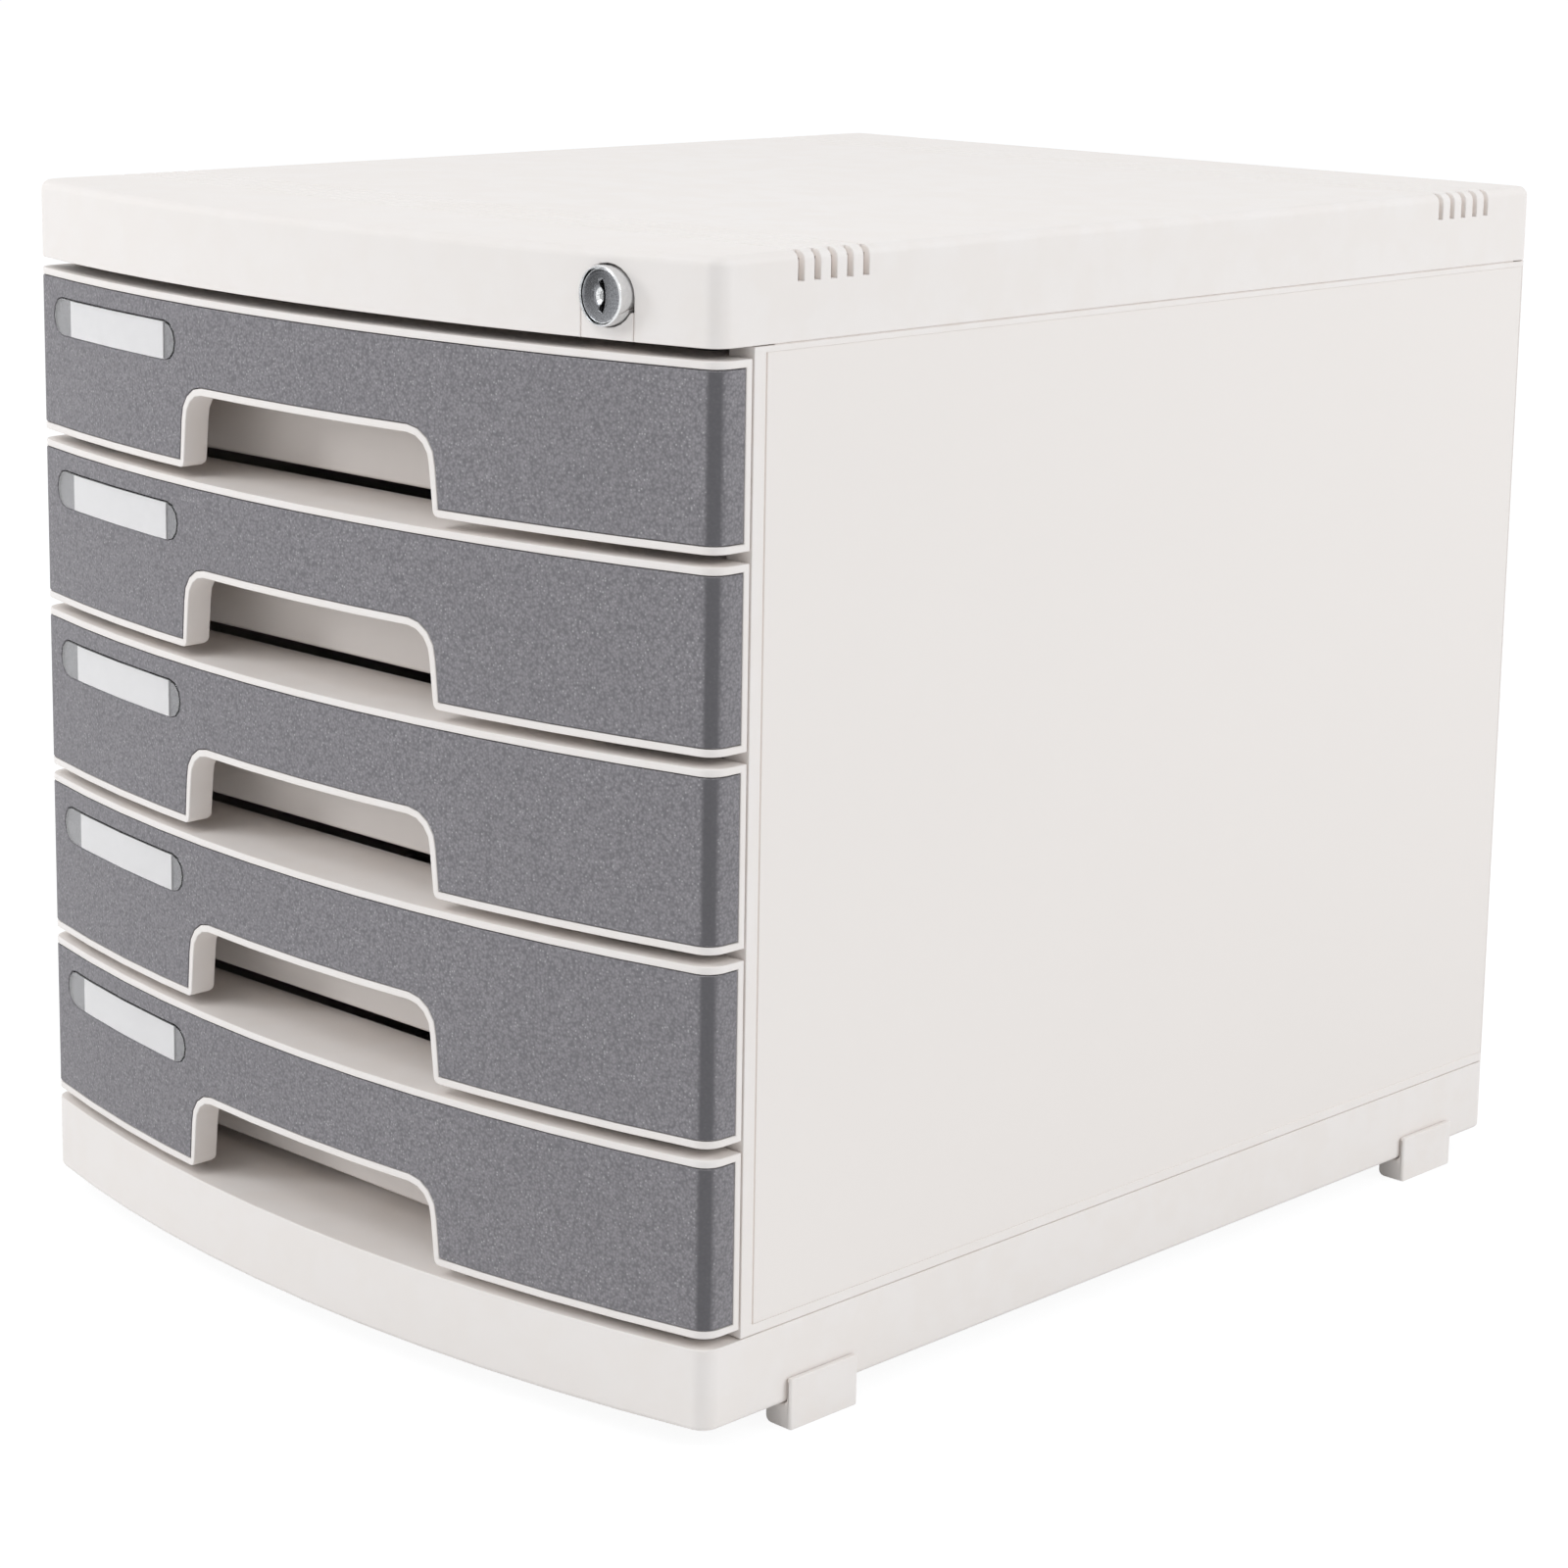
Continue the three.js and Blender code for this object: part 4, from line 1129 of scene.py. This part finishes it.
@dataclass
class CamLock:
    """The cam lock: turned head and barrel, plug with its keyway, nut, cam, screw and lock bar."""

    chrome: Material
    brushed: Material
    steel: Material
    centre: Vector
    front_y: float
    rear_y: float
    head_radius: float = 8.1 * MM
    head_length: float = 7.5 * MM
    head_floor: float = 2.4 * MM
    barrel_radius: float = 6.3 * MM
    plug_head_radius: float = 7.25 * MM
    plug_radius: float = 4.6 * MM
    shank_half: float = 2.6 * MM
    clearance: float = 0.3 * MM
    recess: float = 0.4 * MM
    dome: float = 0.3 * MM
    dome_steps: int = 6
    eye_height: float = 8.6 * MM
    eye_width: float = 6.2 * MM
    eye_depth: float = 1.0 * MM
    eye_shift: float = -0.4 * MM
    eye_floor_share: float = 0.3
    slot_height: float = 8.2 * MM
    slot_width: float = 1.7 * MM
    slot_depth: float = 5.0 * MM
    slot_bulge: float = 1.1 * MM
    overrun: float = 1.0 * MM
    steps: int = 96
    head_round: CornerBreak = CornerBreak(0.5 * MM, 5)
    plug_round: CornerBreak = CornerBreak(0.25 * MM, 3)
    corners: CornerBreak = CornerBreak(0.12 * MM)
    inner_nodes: tuple[str, ...] = ("lock_nut", "lock_cam", "cam_screw", "lock_bar")

    def build(self) -> None:
        """Builds the head and the plug, and dresses what lies behind them."""
        self.build_head()
        self.build_plug()
        for node in self.inner_nodes:
            dress_node(node, self.steel)

    def build_head(self) -> None:
        """Turns the head and its barrel."""
        mouth = self.plug_head_radius + self.clearance
        bore = self.plug_radius + self.clearance
        floor_y = self.front_y + self.head_floor
        seat_y = self.front_y + self.head_length
        profile = [
            (bore, self.rear_y),
            (bore, floor_y),
            (mouth, floor_y),
            (mouth, self.front_y),
            (self.head_radius, self.front_y),
            (self.head_radius, seat_y),
            (self.barrel_radius, seat_y),
            (self.barrel_radius, self.rear_y),
        ]
        form = turned_form(profile, self.centre, self.steps)
        round_edges(form, ring_edges(form, self.centre, self.head_radius, self.front_y), self.head_round)
        role = Role(self.chrome, "housing", Slot.CHROME)
        finish_piece(form, "lock_housing", self.corners, role, "lock_head_turned")

    def build_plug(self) -> None:
        """Turns the plug with its domed face, presses its eye, cuts the key slot and adds the shank."""
        face_y = self.front_y + self.recess
        head_rear_y = self.front_y + self.head_floor - self.clearance
        shares = [i / self.dome_steps for i in range(self.dome_steps + 1)]
        profile = [
            *((share * self.plug_head_radius, face_y + self.dome * share**2) for share in shares),
            (self.plug_head_radius, head_rear_y),
            (self.plug_radius, head_rear_y),
            (self.plug_radius, self.rear_y),
            (0.0, self.rear_y),
        ]
        form = turned_form(profile, self.centre, self.steps)
        rim = ring_edges(form, self.centre, self.plug_head_radius, face_y + self.dome)
        round_edges(form, rim, self.plug_round)
        form = carved(form, self.eye_form(face_y), Carve.CUT)
        form = carved(form, self.slot_form(face_y), Carve.CUT)
        half = self.shank_half
        low = self.centre + Vector((-half, self.rear_y - self.overrun, -half))
        high = self.centre + Vector((half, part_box("lock_plug")[1][1], half))
        form = carved(form, block_form(low, high), Carve.WELD)
        role = Role(self.brushed, "lock_core", Slot.CHROME)
        finish_piece(form, "lock_plug", self.corners, role, "lock_plug_turned")

    def eye_form(self, face_y: float) -> Form:
        """Makes the cutter of the eye: the part that two discs share, narrowed towards its floor.

        Args:
            face_y: Where the plug's face lies.

        Returns:
            The cutter.
        """
        half_height = self.eye_height / 2
        half_width = self.eye_width / 2
        radius = (half_height**2 + half_width**2) / (2 * half_width)
        offset = radius - half_width
        floor_y = face_y + self.eye_depth
        middle = self.centre + Vector((self.eye_shift, 0.0, 0.0))
        discs = []
        for side in (-1.0, 1.0):
            disc = bmesh.new()
            place = Matrix.Translation(middle + Vector((side * offset, face_y, 0.0)))
            bmesh.ops.create_cone(
                disc,
                cap_ends=True,
                segments=2 * self.steps,
                radius1=radius,
                radius2=radius,
                depth=2 * self.eye_depth,
                matrix=place @ Matrix.Rotation(math.pi / 2, 4, "X"),
            )
            discs.append(disc)
        eye = carved(*discs, Carve.KEEP_SHARED)
        floor = [v for v in eye.verts if abs(v.co.y - floor_y) < MERGE_DISTANCE]
        share = self.eye_floor_share
        bmesh.ops.scale(eye, vec=(share, 1.0, share), space=Matrix.Translation(-middle), verts=floor)
        return eye

    def slot_form(self, face_y: float) -> Form:
        """Makes the cutter of the key slot: a strip swept round a centre far to its left.

        Args:
            face_y: Where the plug's face lies.

        Returns:
            The cutter.
        """
        half_height = self.slot_height / 2
        radius = (half_height**2 + self.slot_bulge**2) / (2 * self.slot_bulge)
        spread = math.asin(half_height / radius)
        middle = self.centre + Vector((self.slot_bulge - radius, 0.0, 0.0))
        depth_middle = face_y + (self.slot_depth - self.overrun) / 2
        form = sheet_form(self.slot_width, self.slot_depth + self.overrun)
        bmesh.ops.translate(form, vec=middle + Vector((radius, depth_middle, 0.0)), verts=form.verts)
        turn = Matrix.Rotation(spread, 3, "Y")
        bmesh.ops.rotate(form, cent=middle, matrix=turn, verts=form.verts)
        bmesh.ops.spin(
            form,
            geom=[*form.verts, *form.edges, *form.faces],
            cent=middle,
            axis=ALONG_Y,
            angle=-2 * spread,
            steps=self.steps // 4,
        )
        bmesh.ops.recalc_face_normals(form, faces=form.faces)
        return form


@dataclass(frozen=True)
class Lamp:
    """A large soft lamp that faces the object, and whether mirrors and lenses show it."""

    name: str
    place: Triple
    size: float
    power: float
    mirrored: bool = True
    refracted: bool = False


@dataclass
class Studio:
    """The white sweep, the soft light and the camera at the photograph's angle."""

    image_size: float = 1600.0
    focal_pixels: float = 3817.7
    centre_pixels: Span = (779.89, 612.5)
    sensor_width: float = 36.0
    location: Triple = (0.82393, -0.85213, 0.42457)
    azimuth: float = math.radians(44.213)
    elevation: float = math.radians(11.024)
    roll: float = math.radians(0.873)
    floor_half: float = 40.0
    floor_tone: float = 0.88
    floor_roughness: float = 0.9
    sky_strength: float = 0.58
    seen_share: float = 0.82
    seen_glow: float = 1.13
    flag_place: Triple = (-1.22, -1.23, 0.3)
    flag_size: Span = (0.5, 1.3)
    flag_tone: float = 0.02
    light_tint: Colour = (0.962, 1.0, 1.033)
    lamps: tuple[Lamp, ...] = (
        Lamp("key_panel", (-1.9, -1.95, 1.05), 0.7, 17.0, mirrored=False),
        Lamp("front_panel", (-0.4, -1.7, 2.3), 1.2, 16.0, refracted=True),
        Lamp("side_panel", (2.1, 1.1, 1.5), 1.2, 22.0),
    )

    def build(self) -> None:
        """Sets the floor, the sky, the lamps, the flag and the camera."""
        self.build_floor()
        self.build_sky()
        for lamp in self.lamps:
            self.hang_lamp(lamp)
        self.build_flag()
        self.build_camera()
        bpy.context.scene.view_settings.view_transform = "Standard"

    def seen_mask(self, board: Board) -> Socket:
        """Finds the rays that look at the backdrop, straight, in a reflection or through a lens.

        A ray that a dull surface sent out looks for light, also where it leaves through a lens.

        Args:
            board: The node tree that asks.

        Returns:
            The socket that is 1 for such a ray.
        """
        path = board.add("LightPath").outputs
        looking = path["Is Camera Ray"]
        for name in ("Is Glossy Ray", "Is Transmission Ray"):
            looking = board.maths("MAXIMUM", looking, path[name])
        undimmed = board.maths("LESS_THAN", path["Diffuse Depth"], 0.5)
        return board.maths("MULTIPLY", looking, undimmed)

    def place_sheet(self, form: Form, name: str, tone: float, roughness: float) -> tuple[Piece, Recipe]:
        """Places a grey sheet of the studio.

        Args:
            form: Its form, which is freed.
            name: Its name, and its material's.
            tone: How pale it is.
            roughness: How dull it is.

        Returns:
            The sheet and its material.
        """
        sheet = object_from(form, name)
        recipe = Recipe(name)
        recipe.drive("Base Color", (tone, tone, tone))
        recipe.drive("Roughness", roughness)
        sheet.data.materials.append(recipe.material)
        return sheet, recipe

    def build_floor(self) -> None:
        """Lays the pale floor, which keeps the object's shadow."""
        form = sheet_form(2 * self.floor_half, 2 * self.floor_half)
        floor, recipe = self.place_sheet(form, "studio_floor", self.floor_tone, self.floor_roughness)
        recipe.drive("Specular IOR Level", 0.0)
        glow = recipe.add("Emission")
        recipe.feed(glow.inputs["Strength"], self.seen_glow)
        share = recipe.maths("MULTIPLY", self.seen_mask(recipe), self.seen_share)
        recipe.show_mix(share, recipe.shader, glow)

    def build_sky(self) -> None:
        """Fills the space above the floor: plain white to look at, softer as a light."""
        world = bpy.data.worlds.new("studio_sky")
        bpy.context.scene.world = world
        world.use_nodes = True
        board = Board(world.node_tree)
        seen = self.seen_mask(board)
        background = world.node_tree.nodes["Background"].inputs
        board.feed(background["Color"], board.mix(seen, self.light_tint, WHITE))
        board.feed(background["Strength"], board.ranged(seen, self.sky_strength, 1.0))

    def build_flag(self) -> None:
        """Stands a dark card at the front left, which only polished surfaces see."""
        flag, _ = self.place_sheet(sheet_form(*self.flag_size), "dark_flag", self.flag_tone, 1.0)
        flag.location = self.flag_place
        flag.rotation_euler = (-Vector(self.flag_place)).to_track_quat("Z", "Y").to_euler()
        for ray in ("camera", "diffuse", "transmission", "shadow", "volume_scatter"):
            setattr(flag, f"visible_{ray}", False)

    def hang_lamp(self, lamp: Lamp) -> None:
        """Hangs a lamp, which shines straight through the lenses.

        Args:
            lamp: The lamp.
        """
        data = bpy.data.lights.new(lamp.name, "AREA")
        data.size = lamp.size
        data.energy = lamp.power
        data.color = self.light_tint
        panel = bpy.data.objects.new(lamp.name, data)
        panel.location = lamp.place
        panel.rotation_euler = (-Vector(lamp.place)).to_track_quat("-Z", "Y").to_euler()
        panel.visible_glossy = lamp.mirrored
        panel.visible_transmission = lamp.refracted
        bpy.context.scene.collection.objects.link(panel)

    def build_camera(self) -> None:
        """Sets the camera from the photograph's own perspective."""
        azimuth, elevation, roll = self.azimuth, self.elevation, self.roll
        level = math.cos(elevation)
        back = Vector((math.sin(azimuth) * level, -math.cos(azimuth) * level, math.sin(elevation)))
        right = (-back).cross(Vector((0.0, 0.0, 1.0))).normalized()
        up = right.cross(-back)
        rolled_right = math.cos(roll) * right + math.sin(roll) * up
        rolled_up = -math.sin(roll) * right + math.cos(roll) * up
        data = bpy.data.cameras.new("photo_camera")
        data.sensor_fit = "HORIZONTAL"
        data.sensor_width = self.sensor_width
        data.lens = self.sensor_width * self.focal_pixels / self.image_size
        data.shift_x = (self.image_size / 2 - self.centre_pixels[0]) / self.image_size
        data.shift_y = (self.centre_pixels[1] - self.image_size / 2) / self.image_size
        data.clip_end = 2 * self.floor_half
        camera = bpy.data.objects.new("photo_camera", data)
        turn = Matrix((rolled_right, rolled_up, back)).transposed().to_4x4()
        camera.matrix_world = Matrix.Translation(self.location) @ turn
        bpy.context.scene.collection.objects.link(camera)
        bpy.context.scene.camera = camera


def main() -> None:
    """Loads the frame and builds the shell, the drawers, the lock and the studio."""
    logging.basicConfig(level=logging.INFO, format="%(name)s: %(message)s")
    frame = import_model()
    effects = Effects()
    low, high = (Vector(corner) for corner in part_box("lock_housing"))
    axis = Vector(((low.x + high.x) / 2, 0.0, (low.z + high.z) / 2))

    shell = MouldedPlastic("off_white_shell", (0.905, 0.838, 0.79), (0.92, 0.86, 0.82)).make(effects)
    leather = LeatheredPlastic().make(effects)
    clear = ClearPlastic().make(effects)
    card = CardStock().make(effects)
    chrome = TurnedMetal("ring_chrome", (0.08, 0.16), tuple(axis)).make(effects)
    brushed = TurnedMetal(
        "plug_chrome",
        (0.20, 0.34),
        tuple(axis),
        core_radius=6.95 * MM,
        core_floor=low.y + 0.75 * MM,
        core_pit=low.y + 1.42 * MM,
        mottling=0.6,
        mottles=2400.0,
    ).make(effects)
    steel = ZincSteel().make(effects)

    Shell(Role(shell, "housing", Slot.SHELL)).build()
    drawers = [name for name in frame["bodies"] if name.startswith("drawer_")]
    for number in range(1, len(drawers) + 1):
        FileDrawer(number, shell, leather, clear, card).build()
    CamLock(chrome, brushed, steel, axis, low.y, high.y).build()
    Studio().build()


if __name__ == "__main__":
    main()
